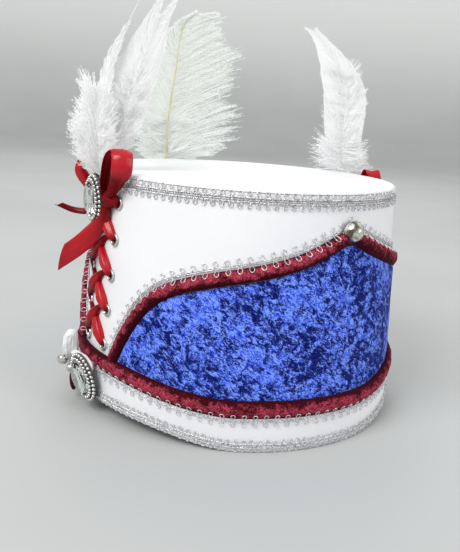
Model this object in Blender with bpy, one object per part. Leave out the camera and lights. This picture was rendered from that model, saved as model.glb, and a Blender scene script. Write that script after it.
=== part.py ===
"""Parade shako: a crown with velvet side panels, a band, gimp braid, lacing, brooches and feathers.

Metres, +Z up. The hat stands on its rim at z = 0, centred on the origin. Its front faces -Y and the
wearer's left is +X. An angle round the hat is in degrees from the front, growing towards +X, and
"out" is the distance outside the crown's wall.
"""

import math

import bmesh
import bpy
from mathutils import Matrix, Vector

# Driving dimensions
CROWN_HEIGHT = 0.1488
CROWN_TOP_RADIUS = 0.0980
CROWN_RIM_RADIUS = 0.1060
WALL = 0.0020
GAP = 0.0003
FRONT_RISE = 0.0084
BACK_RISE = 0.0102
RISING_BELOW = 0.040
RING_STEPS = 72
WELD = 1e-6
SHARP_ABOVE = 40

BAND_TOP = 0.0222
BAND_OUTER_RADIUS = 0.1079
PIPING_BULGE_RADIUS = 0.1100
PIPING_TOP = 0.0310
BRAID_THICKNESS = 0.0010
HEM_BRAID = (0.0004, 0.0074)
BAND_BRAID = (0.0152, 0.0217)
TOP_BRAID = (0.1392, 0.1484)

PANEL_THICKNESS = 0.0014
PANEL_PIPING_HALF_WIDTH = 0.0042
PANEL_PIPING_DEPTH = 0.0050
PANEL_PIPING_DROP = 0.0057
PANEL_BRAID = (-0.0012, 0.0046)
PANEL_CLEARANCE = 0.0004
STUD_ANGLE = 94.5
STUD_HEIGHT = 0.1274
STUD_RADIUS = 0.0060
STUD_DEPTH = 0.0054

EYELET_ROWS = 5
LOWEST_EYELET = {"front": 0.0437, "back": 0.0458}
TOP_EYELET = 0.1314
EYELET_RADIUS = 0.0039
EYELET_HOLE_RADIUS = 0.0024
EYELET_DEPTH = 0.0009
LACE_OUT = 0.0015
LACE_THICKNESS = 0.0006
LACE_WIDTH = 0.0085
RIBBON_THICKNESS = 0.0008

# The braid's centre line on the side panel, from the front lacing over the stud to the back lacing
SEAM_FRONT = (
    # angle, height in mm
    (11.0, 40.4),
    (13.6, 51.5),
    (17.5, 64.5),
    (22.5, 77.5),
    (29.5, 89.6),
    (39.0, 97.9),
    (51.0, 104.2),
    (64.0, 109.4),
    (76.0, 115.7),
    (86.0, 123.4),
    (STUD_ANGLE, 130.2),
)
SEAM_BACK = (
    # angle, height in mm
    (STUD_ANGLE, 130.2),
    (102.0, 126.0),
    (110.0, 121.0),
    (118.0, 116.4),
    (127.0, 112.2),
    (138.0, 108.0),
    (148.0, 101.0),
    (156.0, 90.5),
    (162.0, 76.0),
    (166.0, 58.0),
    (168.8, 42.4),
)
STATIONS_PER_ROW = 2

# Each feather's blade: the middle of its width, the width and the thickness there, in mm
FEATHERS = {
    "feather_marabou": (
        # x, y, z, width, thickness
        (2.0, -101.7, 141.0, 2.2, 2.2),
        (0.0, -103.0, 149.0, 3.0, 3.0),
        (1.0, -106.2, 156.0, 14.0, 7.0),
        (-1.0, -107.2, 164.0, 22.0, 10.0),
        (-2.5, -109.0, 176.0, 24.0, 10.0),
        (-1.0, -106.5, 189.0, 17.0, 8.0),
        (1.5, -103.0, 200.0, 5.0, 3.0),
    ),
    "feather_slim": (
        (-2.2, -101.7, 141.0, 2.0, 2.0),
        (-3.8, -102.0, 149.0, 2.0, 1.4),
        (-6.2, -101.4, 157.0, 2.2, 1.4),
        (-7.0, -100.2, 172.0, 3.5, 1.4),
        (-7.0, -99.7, 192.0, 6.5, 1.4),
        (-4.0, -95.3, 213.0, 6.5, 1.4),
        (-0.4, -89.7, 230.0, 2.0, 1.2),
        (6.0, -80.3, 254.0, 1.2, 1.0),
    ),
    "feather_goose": (
        (-6.2, -101.7, 141.0, 2.2, 2.2),
        (-6.4, -100.7, 149.6, 2.6, 2.2),
        (-6.3, -97.4, 156.0, 8.0, 2.4),
        (-6.0, -91.0, 172.0, 20.0, 3.0),
        (-2.5, -85.0, 194.0, 27.0, 3.0),
        (1.0, -79.7, 215.0, 26.0, 3.0),
        (4.6, -74.1, 233.0, 13.0, 2.4),
        (8.5, -68.3, 247.0, 10.0, 2.0),
        (10.5, -65.7, 256.0, 2.0, 1.2),
    ),
    "feather_ostrich": (
        (-99.4, -17.4, 128.0, 2.4, 2.4),
        (-101.8, -12.8, 141.0, 2.4, 2.4),
        (-103.8, -9.5, 150.5, 4.0, 3.0),
        (-99.5, -2.4, 157.0, 56.0, 8.0),
        (-94.5, 3.6, 175.0, 76.0, 10.0),
        (-93.5, 5.6, 200.0, 78.0, 10.0),
        (-92.5, 7.0, 225.0, 68.0, 10.0),
        (-89.5, 11.6, 246.0, 45.0, 9.0),
        (-86.0, 17.0, 259.0, 14.0, 5.0),
    ),
    "feather_back": (
        (-6.0, 101.3, 137.0, 2.2, 2.2),
        (-14.0, 101.4, 149.6, 3.0, 2.4),
        (-14.5, 96.5, 157.0, 26.0, 5.0),
        (-13.5, 92.5, 178.0, 33.0, 5.0),
        (-14.0, 90.5, 205.0, 32.0, 5.0),
        (-18.0, 83.5, 227.0, 26.0, 4.0),
        (-24.0, 73.0, 243.0, 16.0, 3.0),
        (-29.0, 65.0, 250.0, 3.0, 1.4),
    ),
}
FEATHER_ACROSS = Vector((math.cos(math.radians(57)), math.sin(math.radians(57)), 0))

# Ribbon pieces: the middle of the ribbon and its width there, in mm
ALONG_X = Vector((1, 0, 0))
ALONG_Y = Vector((0, 1, 0))
TAIL_ACROSS = Vector((0.45, 0.30, -0.84))
SHORT_TAIL_ACROSS = Vector((0.84, -0.54, 0))
RIBBONS = {
    "bow_loop_left": (
        ALONG_Y,
        (
            # x, y, z, width
            (5.4, -102.0, 135.5, 2.6),
            (9.5, -102.8, 146.0, 4.0),
            (15.0, -105.0, 156.0, 10.0),
            (24.0, -105.2, 161.5, 11.0),
            (33.0, -105.0, 158.5, 11.0),
            (37.0, -104.6, 150.0, 10.5),
            (31.0, -103.8, 142.5, 8.0),
            (18.0, -102.4, 137.5, 4.0),
            (9.6, -102.0, 134.9, 2.6),
        ),
    ),
    "bow_loop_right": (
        ALONG_X,
        (
            (-12.5, -101.6, 135.8, 3.0),
            (-13.0, -103.8, 146.0, 5.0),
            (-14.5, -107.0, 154.0, 9.0),
            (-17.0, -109.5, 155.5, 10.0),
            (-19.5, -113.5, 150.5, 10.0),
            (-20.3, -115.2, 144.5, 9.0),
            (-20.5, -111.0, 139.5, 8.0),
            (-19.4, -105.5, 134.5, 5.0),
            (-18.4, -100.3, 131.8, 3.0),
        ),
    ),
    "bow_tail_long": (
        TAIL_ACROSS,
        (
            (1.0, -102.9, 126.4, 2.0),
            (1.0, -103.4, 114.0, 3.0),
            (-3.0, -108.0, 106.5, 9.0),
            (-9.5, -113.0, 101.0, 11.0),
            (-16.5, -118.0, 95.5, 11.0),
        ),
    ),
    "bow_tail_short": (
        SHORT_TAIL_ACROSS,
        (
            (-17.0, -99.9, 127.6, 2.4),
            (-18.8, -105.5, 125.6, 3.0),
            (-21.0, -112.0, 125.0, 4.0),
            (-24.5, -119.0, 126.5, 1.6),
        ),
    ),
    "back_bow_loop_left": (
        ALONG_Y,
        (
            (5.2, 102.1, 135.3, 2.6),
            (4.6, 103.2, 144.0, 4.0),
            (6.8, 104.4, 150.8, 9.0),
            (10.5, 104.8, 153.2, 9.6),
            (14.5, 104.6, 150.0, 9.6),
            (16.2, 104.2, 143.5, 8.0),
            (13.6, 103.2, 138.6, 5.0),
            (9.8, 102.2, 135.0, 2.6),
        ),
    ),
    "back_bow_loop_right": (
        ALONG_Y,
        (
            (-5.6, 103.4, 133.4, 2.6),
            (-13.0, 104.4, 136.2, 6.0),
            (-21.0, 105.0, 135.6, 9.0),
            (-27.5, 105.2, 130.5, 9.6),
            (-27.0, 105.0, 124.0, 9.0),
            (-18.0, 104.4, 123.6, 7.0),
            (-8.5, 103.5, 128.4, 2.6),
        ),
    ),
    "back_bow_tail_left": (
        ALONG_X,
        (
            (2.6, 103.4, 128.3, 3.0),
            (4.6, 105.0, 118.0, 7.0),
            (8.0, 107.0, 104.0, 10.0),
            (10.0, 108.0, 92.0, 10.0),
        ),
    ),
    "back_bow_tail_right": (
        ALONG_X,
        (
            (-2.6, 103.4, 128.3, 3.0),
            (-6.4, 105.0, 117.0, 7.0),
            (-11.5, 107.0, 104.0, 10.0),
            (-15.0, 108.0, 96.0, 10.0),
        ),
    ),
}

# Colour, roughness and metallic value of each finish
FINISHES = {
    "leatherette": ((0.86, 0.86, 0.87), 0.45, 0.0),
    "blue_velvet": ((0.05, 0.09, 0.42), 0.85, 0.0),
    "maroon_velvet": ((0.22, 0.02, 0.05), 0.85, 0.0),
    "silver_gimp": ((0.72, 0.72, 0.74), 0.35, 0.9),
    "red_satin": ((0.52, 0.02, 0.03), 0.35, 0.0),
    "nickel": ((0.78, 0.77, 0.74), 0.15, 1.0),
    "crystal": ((0.85, 0.90, 0.88), 0.05, 0.0),
    "feather": ((0.88, 0.88, 0.87), 0.80, 0.0),
}


def clear_scene():
    for thing in list(bpy.data.objects):
        bpy.data.objects.remove(thing)


def material_for(name, finish):
    colour, roughness, metallic = FINISHES[finish]
    made = bpy.data.materials.new(name)
    made.use_nodes = True
    shader = made.node_tree.nodes["Principled BSDF"]
    shader.inputs["Base Color"].default_value = (*colour, 1)
    shader.inputs["Roughness"].default_value = roughness
    shader.inputs["Metallic"].default_value = metallic
    return made


def place_part(name, mesh, place):
    part = bpy.data.objects.new(name, mesh)
    part.matrix_world = place
    bpy.context.collection.objects.link(part)
    return part


def add_part(name, shape, finish, place=Matrix()):
    """Turns a bmesh into a named object with its own material, its normals out and its sharp edges kept."""
    bmesh.ops.remove_doubles(shape, verts=shape.verts, dist=WELD)
    bmesh.ops.recalc_face_normals(shape, faces=shape.faces)
    mesh = bpy.data.meshes.new(name)
    shape.to_mesh(mesh)
    shape.free()
    mesh.shade_smooth()
    mesh.set_sharp_from_angle(angle=math.radians(SHARP_ABOVE))
    mesh.materials.append(material_for(name, finish))
    return place_part(name, mesh, place)


def make_helper(part):
    part.hide_render = True
    part.display_type = "WIRE"
    return part


def smoothstep(share):
    share = min(max(share, 0.0), 1.0)
    return share * share * (3 - 2 * share)


def rise(angle):
    """How far the rim lifts off the surface: nothing over the ears, most at the front and the back."""
    forward = math.cos(math.radians(angle))
    front = FRONT_RISE * smoothstep((forward - 0.5) / 0.5)
    back = BACK_RISE * smoothstep((-forward - 0.2) / 0.8)
    return front + back


def wall_radius(height):
    return CROWN_RIM_RADIUS + (CROWN_TOP_RADIUS - CROWN_RIM_RADIUS) * height / CROWN_HEIGHT


def around(angle, radius, height):
    turn = math.radians(angle)
    return Vector((radius * math.sin(turn), -radius * math.cos(turn), height))


def on_wall(angle, height, out):
    return around(angle, wall_radius(height) + out, height)


def wall_frame(angle, height, out):
    """Local X runs round the hat, Y up the wall and Z straight out of it."""
    slope = math.atan2(CROWN_RIM_RADIUS - CROWN_TOP_RADIUS, CROWN_HEIGHT)
    turn = Matrix.Rotation(math.radians(angle), 4, "Z") @ Matrix.Rotation(math.radians(90) - slope, 4, "X")
    return Matrix.Translation(on_wall(angle, height, out)) @ turn


def facing_frame(centre, azimuth, elevation):
    """Local Z points outwards at this azimuth from the front, tilted up by the elevation."""
    turn = Matrix.Rotation(math.radians(azimuth), 4, "Z")
    tilt = Matrix.Rotation(math.radians(90 - elevation), 4, "X")
    return Matrix.Translation(centre) @ turn @ tilt


def follow_rim(mesh_builder):
    """Lifts what lies low on the hat with its rim, and keeps each point as far outside the wall."""
    for vert in mesh_builder.verts:
        if vert.co.z >= RISING_BELOW:
            continue
        angle = math.degrees(math.atan2(vert.co.x, -vert.co.y))
        radius = math.hypot(vert.co.x, vert.co.y)
        height = vert.co.z + rise(angle)
        radius += wall_radius(height) - wall_radius(vert.co.z)
        vert.co = around(angle, radius, height)


def turned(profile, steps):
    """(radius, height) points turned about Z, closed on themselves unless they start on the axis."""
    shape = bmesh.new()
    verts = [shape.verts.new(around(0, radius, height)) for radius, height in profile]
    edges = [shape.edges.new(pair) for pair in zip(verts, verts[1:])]
    if profile[0][0] > 0:
        edges.append(shape.edges.new((verts[-1], verts[0])))
    bmesh.ops.spin(
        shape,
        geom=verts + edges,
        cent=(0, 0, 0),
        axis=(0, 0, 1),
        angle=math.tau,
        steps=steps,
        use_merge=True,
    )
    return shape


def ring(name, profile, finish):
    """A profile turned round the hat, its low points lifted with the rim."""
    shape = turned(profile, RING_STEPS)
    follow_rim(shape)
    return add_part(name, shape, finish)


def loft(sections):
    """A solid through sections with the same number of points, pulled out of the first one."""
    shape = bmesh.new()
    first = face = shape.faces.new([shape.verts.new(point) for point in sections[0]])
    for section in sections[1:]:
        pulled = face
        before = list(face.verts)
        made = bmesh.ops.extrude_face_region(shape, geom=[face], use_keep_orig=True)["geom"]
        face = next(item for item in made if isinstance(item, bmesh.types.BMFace))
        for vert, point in zip(matched(face, before), section):
            vert.co = point
        if pulled is not first:
            shape.faces.remove(pulled)
    return shape


def matched(face, before):
    """The new face's corners in the order of the corners that they were pulled from."""
    ordered = []
    for old in before:
        ordered.append(min(face.verts, key=lambda vert: (vert.co - old.co).length_squared))
    return ordered


def smooth_rows(rows, per_row):
    """Points on a smooth curve through the rows, with this many steps from each row to the next."""
    points = []
    for index in range(len(rows) - 1):
        before = rows[max(index - 1, 0)]
        start, end = rows[index], rows[index + 1]
        after = rows[min(index + 2, len(rows) - 1)]
        for step in range(per_row):
            t = step / per_row
            points.append(
                tuple(
                    b
                    + t * (c - a) / 2
                    + t**2 * (2 * a - 5 * b + 4 * c - d) / 2
                    + t**3 * (3 * b - a - 3 * c + d) / 2
                    for a, b, c, d in zip(before, start, end, after)
                )
            )
    points.append(tuple(rows[-1]))
    return points


def crown():
    top = CROWN_HEIGHT - WALL - GAP
    low = 0.0020
    ring(
        "crown_wall",
        [
            (wall_radius(low), low),
            (wall_radius(top), top),
            (wall_radius(top) - WALL, top),
            (wall_radius(low) - WALL, low),
        ],
        "leatherette",
    )
    edge = 0.0006
    lid = CROWN_HEIGHT - WALL
    ring(
        "crown_top",
        [
            (0, lid),
            (CROWN_TOP_RADIUS, lid),
            (CROWN_TOP_RADIUS, CROWN_HEIGHT - edge),
            (CROWN_TOP_RADIUS - edge, CROWN_HEIGHT),
            (0, CROWN_HEIGHT),
        ],
        "leatherette",
    )


def flat_braid(name, span, low_radius, high_radius):
    """A flat braid round the hat between two heights, laid on a wall that has these radii there."""
    low, high = span
    inner, outer = low_radius + GAP, high_radius + GAP
    ring(
        name,
        [(inner, low), (inner + BRAID_THICKNESS, low), (outer + BRAID_THICKNESS, high), (outer, high)],
        "silver_gimp",
    )


def band():
    ring(
        "band",
        [
            (wall_radius(0) + GAP, 0),
            (BAND_OUTER_RADIUS, 0),
            (BAND_OUTER_RADIUS, BAND_TOP),
            (wall_radius(BAND_TOP) + GAP, BAND_TOP),
        ],
        "leatherette",
    )
    flat_braid("hem_braid", HEM_BRAID, BAND_OUTER_RADIUS, BAND_OUTER_RADIUS)
    flat_braid("band_braid", BAND_BRAID, BAND_OUTER_RADIUS, BAND_OUTER_RADIUS)
    flat_braid("top_braid", TOP_BRAID, *map(wall_radius, TOP_BRAID))
    low, high = BAND_TOP + GAP, PIPING_TOP
    middle, half = (low + high) / 2, (high - low) / 2
    seat = wall_radius(middle) + GAP
    section = []
    for step in range(7):
        turn = math.radians(-90 + 30 * step)
        height = middle + half * math.sin(turn)
        radius = seat + (PIPING_BULGE_RADIUS - seat) * math.cos(turn)
        section.append((max(radius, wall_radius(height) + GAP), height))
    ring("band_piping", section, "maroon_velvet")


def seam_stations():
    """(angle, height, direction up the braid) along the seam: level at its ends and upright at the peak."""
    half = [smooth_rows(rows, STATIONS_PER_ROW) for rows in (SEAM_FRONT, SEAM_BACK)]
    peak = len(half[0]) - 1
    points = half[0][:-1] + half[1]
    stations = []
    for index, (angle, height) in enumerate(points):
        if index in (0, len(points) - 1):
            up = (-1.0 if index == 0 else 1.0, 0.0)
        else:
            (a, z), (b, y) = points[index - 1], points[index + 1]
            along = Vector((math.radians(b - a) * wall_radius(height / 1000) * 1000, y - z)).normalized()
            up = (-along.y, along.x)
            if index == peak:
                up = (0.0, 1 / 0.90)
        stations.append((angle, height / 1000, up))
    return stations


def beside_seam(station, distance, out, side):
    """A point this far above the seam, measured over the wall; the right side mirrors the left."""
    angle, height, (across, upward) = station
    height += distance * upward
    angle += math.degrees(distance * across / wall_radius(height))
    return on_wall(side * angle, height, out)


def panel_bottom(angle):
    return PIPING_TOP + PANEL_CLEARANCE + rise(angle)


def side_panel(side, word):
    stations = seam_stations()
    middle = -PANEL_PIPING_DROP

    sections = []
    for station in stations:
        section = []
        for step in range(7):
            turn = math.radians(180 - 30 * step)
            distance = middle + PANEL_PIPING_HALF_WIDTH * math.cos(turn)
            section.append(beside_seam(station, distance, GAP + PANEL_PIPING_DEPTH * math.sin(turn), side))
        sections.append(section)
    piping = add_part(f"panel_piping_{word}", loft(sections), "maroon_velvet")
    seat = turned([(0, 0), (STUD_RADIUS + GAP, 0), (STUD_RADIUS + GAP, 0.012), (0, 0.012)], 24)
    seat_place = wall_frame(side * STUD_ANGLE, STUD_HEIGHT, GAP * 1.5 + BRAID_THICKNESS)
    cut = piping.modifiers.new("stud seat", "BOOLEAN")
    cut.operation = "DIFFERENCE"
    cut.object = make_helper(add_part(f"stud_seat_{word}", seat, "nickel", seat_place))

    sections = []
    for station in stations:
        low, high = PANEL_BRAID
        corners = ((low, GAP), (low, GAP + BRAID_THICKNESS), (high, GAP + BRAID_THICKNESS), (high, GAP))
        sections.append([beside_seam(station, distance, out, side) for distance, out in corners])
    add_part(f"panel_braid_{word}", loft(sections), "silver_gimp")

    edge = middle - PANEL_PIPING_HALF_WIDTH - PANEL_CLEARANCE
    sections = []
    for station in stations:
        corner = beside_seam(station, edge, 0, side)
        angle = math.degrees(math.atan2(corner.x, -corner.y))
        top, bottom = corner.z, panel_bottom(angle)
        sections.append(
            [
                on_wall(angle, bottom, GAP),
                on_wall(angle, top, GAP),
                on_wall(angle, top, GAP + PANEL_THICKNESS),
                on_wall(angle, bottom, GAP + PANEL_THICKNESS),
            ]
        )
    add_part(f"velvet_panel_{word}", loft(sections), "blue_velvet")

    dome = [(0, 0)]
    for step in range(5):
        turn = math.radians(18 * step)
        dome.append((STUD_RADIUS * math.cos(turn), STUD_DEPTH * math.sin(turn)))
    stud = turned(dome + [(0, STUD_DEPTH)], 20)
    stud_place = wall_frame(side * STUD_ANGLE, STUD_HEIGHT, 2 * GAP + BRAID_THICKNESS)
    add_part(f"side_stud_{word}", stud, "nickel", stud_place)


def eyelet_place(row, end):
    """(angle, height) of an eyelet of the wearer's left column, at the front or the back."""
    spread = 6.7 + 0.75 * row
    angle = spread if end == "front" else 180 - spread
    low = LOWEST_EYELET[end]
    return angle, low + (TOP_EYELET - low) * row / (EYELET_ROWS - 1)


def eyelets():
    lip = EYELET_DEPTH * 0.4
    middle = (EYELET_RADIUS + EYELET_HOLE_RADIUS) / 2
    profile = [
        (EYELET_HOLE_RADIUS, 0),
        (EYELET_RADIUS, 0),
        (EYELET_RADIUS, lip),
        (middle, EYELET_DEPTH),
        (EYELET_HOLE_RADIUS, lip),
    ]
    mesh = None
    for end in ("front", "back"):
        for side, word in ((1, "left"), (-1, "right")):
            for row in range(EYELET_ROWS):
                angle, height = eyelet_place(row, end)
                name, place = f"eyelet_{end}_{word}_{row + 1}", wall_frame(side * angle, height, GAP)
                if mesh is None:
                    mesh = add_part(name, turned(profile, 12), "nickel", place).data
                else:
                    place_part(name, mesh, place)


def lace_strand(end, first_side, thickness):
    """One flat ribbon that zigzags up from eyelet to eyelet, its width always level."""
    marks = []
    for row in range(EYELET_ROWS):
        angle, height = eyelet_place(row, end)
        angle = angle if end == "front" else 180 - angle
        marks.append((first_side * (-1) ** row * angle, height))
    low = marks[0][1] - 0.0015
    top = marks[-1][1] - 0.0044
    pitch = marks[1][1] - marks[0][1]
    middle = 0 if end == "front" else 180
    steps = 20
    sections = []
    for step in range(steps + 1):
        height = low + (top - low) * step / steps
        share = min(max((height - marks[0][1]) / pitch, 0), EYELET_ROWS - 1)
        row = min(int(share), EYELET_ROWS - 2)
        start, finish = marks[row][0], marks[row + 1][0]
        angle = middle + start + (finish - start) * (share - row)
        half = math.degrees(LACE_WIDTH / 2 / wall_radius(height))
        near, far = LACE_OUT, LACE_OUT + thickness
        sections.append(
            [
                on_wall(angle - half, height, near),
                on_wall(angle, height, near),
                on_wall(angle + half, height, near),
                on_wall(angle + half, height, far),
                on_wall(angle, height, far),
                on_wall(angle - half, height, far),
            ]
        )
    return loft(sections)


def lacing(end):
    over = add_part(f"lacing_{end}", lace_strand(end, 1, LACE_THICKNESS), "red_satin")
    under = add_part(f"lace_strand_{end}", lace_strand(end, -1, LACE_THICKNESS * 1.25), "red_satin")
    join = over.modifiers.new("crossings", "BOOLEAN")
    join.operation = "UNION"
    join.object = make_helper(under)


def bow_knot(name, end):
    """The knot between the top eyelets, with the ribbon that runs to it from both sides."""
    middle = 0 if end == "front" else 180
    rows = (
        # angle, half height in mm, thickness in mm
        (-11.4, 3.0, 0.6),
        (-8.0, 3.4, 0.6),
        (-4.5, 3.0, 0.9),
        (-2.2, 3.6, 2.4),
        (0.0, 4.2, 2.9),
        (2.2, 3.6, 2.4),
        (4.5, 3.0, 0.9),
        (8.0, 3.4, 0.6),
        (11.4, 3.0, 0.6),
    )
    height = TOP_EYELET
    sections = []
    for angle, half, thickness in rows:
        half, thickness = half / 1000, thickness / 1000
        turn = middle + angle
        sections.append(
            [
                on_wall(turn, height - half, LACE_OUT),
                on_wall(turn, height - half * 0.6, LACE_OUT + thickness),
                on_wall(turn, height + half * 0.6, LACE_OUT + thickness),
                on_wall(turn, height + half, LACE_OUT),
            ]
        )
    add_part(name, loft(sections), "red_satin")


def ribbon(name, across, rows):
    """A ribbon along the rows' points, its width along the given direction."""
    across = across.normalized()
    points = [Vector(row[:3]) / 1000 for row in rows]
    sections = []
    for index, point in enumerate(points):
        ahead = points[min(index + 1, len(points) - 1)] - points[max(index - 1, 0)]
        flat = ahead.cross(across).normalized() * RIBBON_THICKNESS / 2
        side = across * rows[index][3] / 2000
        sections.append([point - side - flat, point + side - flat, point + side + flat, point - side + flat])
    add_part(name, loft(sections), "red_satin")


def feather(name, rows):
    """The outer form of a feather: a lens-shaped blade that narrows to its quill."""
    points = [Vector(row[:3]) / 1000 for row in rows]
    sections = []
    for index, point in enumerate(points):
        ahead = points[min(index + 1, len(points) - 1)] - points[max(index - 1, 0)]
        facing = ahead.cross(FEATHER_ACROSS).normalized()
        side = FEATHER_ACROSS * rows[index][3] / 2000
        face = facing * rows[index][4] / 2000
        sections.append(
            [
                point - side,
                point - side * 0.5 - face,
                point + side * 0.5 - face,
                point + side,
                point + side * 0.5 + face,
                point - side * 0.5 + face,
            ]
        )
    add_part(name, loft(sections), "feather")


def oval(shape, half_width, half_height):
    """Scales a shape turned to a radius of 1 in X and Y, with its heights in metres."""
    bmesh.ops.scale(shape, vec=(half_width, half_height, 1), verts=shape.verts)
    return shape


def brooch(name, frame, half_width, half_height, stone_rise):
    """An oval setting with a raised bead border, and the stone in it."""
    plate, border = 0.0016, 0.0034
    setting = oval(
        turned([(0, 0), (1, 0), (1, plate), (0.9, border), (0.76, border), (0.74, plate), (0, plate)], 24),
        half_width,
        half_height,
    )
    made = add_part(f"{name}_setting", setting, "nickel", frame)
    base = plate + GAP
    profile = [(0, base)]
    for turn in (0, 25, 50, 72):
        turn = math.radians(turn)
        profile.append((math.cos(turn), base + 0.0012 + stone_rise * math.sin(turn)))
    profile.insert(1, (1, base))
    profile.append((0, base + 0.0012 + stone_rise))
    clear = 0.72 - GAP / half_width
    stone = oval(turned(profile, 20), half_width * clear, half_height * clear)
    add_part(f"{name}_stone", stone, "crystal", frame)
    return made


def brooches():
    brooch("crown_brooch", facing_frame((-0.0030, -0.1056, 0.1314), 7, -3), 0.0125, 0.0150, 0.0034)
    centre = Vector((0.0109, -0.1120, 0.0235))
    setting = brooch("band_brooch", facing_frame(centre, 18, -6), 0.0137, 0.0172, 0.0040)
    balls = (
        # middle in mm, radius in mm
        ((-9.6, -121.2, 29.5), 3.4),
        ((-5.6, -118.9, 26.0), 3.1),
        ((-2.6, -117.0, 24.9), 1.8),
    )
    for index, (middle, radius) in enumerate(balls):
        shape = bmesh.new()
        bmesh.ops.create_uvsphere(shape, u_segments=14, v_segments=9, radius=radius / 1000)
        place = Matrix.Translation(Vector(middle) / 1000)
        ball = make_helper(add_part(f"brooch_ball_{index + 1}", shape, "nickel", place))
        join = setting.modifiers.new(ball.name, "BOOLEAN")
        join.operation = "UNION"
        join.object = ball


def rosette():
    """The pleated oval behind the band brooch, and the small velvet loop under it."""
    thick = 0.0024
    disc = oval(turned([(0, 0), (1, 0), (1.0, thick * 0.5), (0.9, thick), (0, thick)], 24), 0.0130, 0.0150)
    add_part("brooch_rosette", disc, "leatherette", facing_frame((-0.0092, -0.1134, 0.0330), 11, 0))
    pad = oval(turned([(0, 0), (0.8, 0), (1, 0.0012), (0.8, 0.0032), (0, 0.0040)], 12), 0.0052, 0.0070)
    add_part("velvet_loop", pad, "maroon_velvet", facing_frame((-0.0120, -0.1088, 0.0122), -6, 0))


def main():
    clear_scene()
    crown()
    band()
    for side, word in ((1, "left"), (-1, "right")):
        side_panel(side, word)
    eyelets()
    for end in ("front", "back"):
        lacing(end)
    bow_knot("bow_knot", "front")
    bow_knot("back_bow_knot", "back")
    for name, (across, rows) in RIBBONS.items():
        ribbon(name, across, rows)
    brooches()
    rosette()
    for name, rows in FEATHERS.items():
        feather(name, rows)


main()
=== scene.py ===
"""Looks of the parade shako: leatherette, crushed velvet, gimp braid, satin ribbon, brooches and feathers.

Metres, +Z up. The hat stands on its rim at z = 0; its front faces -Y and the wearer's left is +X.
An angle round the hat is in degrees from the front, and "out" is a distance outside the crown's wall.
"""

import math

import bmesh
import bpy
import numpy as np
from mathutils import Matrix, Vector


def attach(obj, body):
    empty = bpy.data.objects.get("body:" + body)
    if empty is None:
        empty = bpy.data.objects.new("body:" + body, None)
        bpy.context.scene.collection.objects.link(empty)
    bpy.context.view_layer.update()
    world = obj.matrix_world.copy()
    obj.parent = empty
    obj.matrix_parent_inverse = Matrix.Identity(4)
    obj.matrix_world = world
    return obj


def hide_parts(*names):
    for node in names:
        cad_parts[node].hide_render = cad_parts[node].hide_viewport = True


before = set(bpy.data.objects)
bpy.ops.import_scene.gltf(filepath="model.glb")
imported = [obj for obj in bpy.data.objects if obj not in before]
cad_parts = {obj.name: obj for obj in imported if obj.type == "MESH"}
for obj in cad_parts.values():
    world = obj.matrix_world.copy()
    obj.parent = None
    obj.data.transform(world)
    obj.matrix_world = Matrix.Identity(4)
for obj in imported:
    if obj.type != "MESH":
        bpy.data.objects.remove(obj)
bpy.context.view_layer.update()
MM = 0.001
SIDES = ((1, "left"), (-1, "right"))


# ---------------------------------------------------------------- the hat's own sizes, as in the CAD
CROWN_HEIGHT = 0.1488
CROWN_TOP_RADIUS = 0.0980
CROWN_RIM_RADIUS = 0.1060
WALL = 0.0020
GAP = 0.0003
FRONT_RISE = 0.0084
BACK_RISE = 0.0102
RISING_BELOW = 0.040
BAND_TOP = 0.0222
BAND_OUTER_RADIUS = 0.1079
PIPING_LOW = 0.0208  # the maroon piping laps a little over the band's edge
PIPING_TOP = 0.0304
PIPING_MIDDLE = (PIPING_LOW + PIPING_TOP) / 2
PIPING_HALF_HEIGHT = (PIPING_TOP - PIPING_LOW) / 2
PIPING_BULGE_RADIUS = 0.1100
PANEL_PIPING_MIDDLE = -0.0057
PANEL_PIPING_HALF_WIDTH = 0.0042
PANEL_PIPING_DEPTH = 0.0042
PANEL_PIPING_PAST_SEAM = 0.0032
PANEL_PIPING_ROUNDED_END = 0.0030
PANEL_EDGE = -0.0100
STUD_ANGLE = 94.5
STUD_HEIGHT = 0.1269
EYELET_ROWS = 5
LOWEST_EYELET = {"front": 0.0437, "back": 0.0458}
TOP_EYELET = 0.1314
LOWEST_EYELET_ANGLE = 6.7
EYELET_ANGLE_STEP = 0.75
SEAM_FRONT = (
    # angle, height in mm
    (11.0, 40.4),
    (13.6, 51.5),
    (17.5, 64.5),
    (22.5, 77.5),
    (29.5, 89.6),
    (39.0, 97.9),
    (51.0, 104.2),
    (64.0, 109.4),
    (76.0, 115.7),
    (86.0, 123.4),
    (STUD_ANGLE, 130.2),
)
SEAM_BACK = (
    (STUD_ANGLE, 130.2),
    (102.0, 126.0),
    (110.0, 121.0),
    (118.0, 116.4),
    (127.0, 112.2),
    (138.0, 108.0),
    (148.0, 101.0),
    (156.0, 90.5),
    (162.0, 76.0),
    (166.0, 58.0),
    (168.8, 42.4),
)
PHOTO_AZIMUTH = 57
FEATHER_ACROSS = np.array([math.cos(math.radians(PHOTO_AZIMUTH)), math.sin(math.radians(PHOTO_AZIMUTH)), 0])
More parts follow.
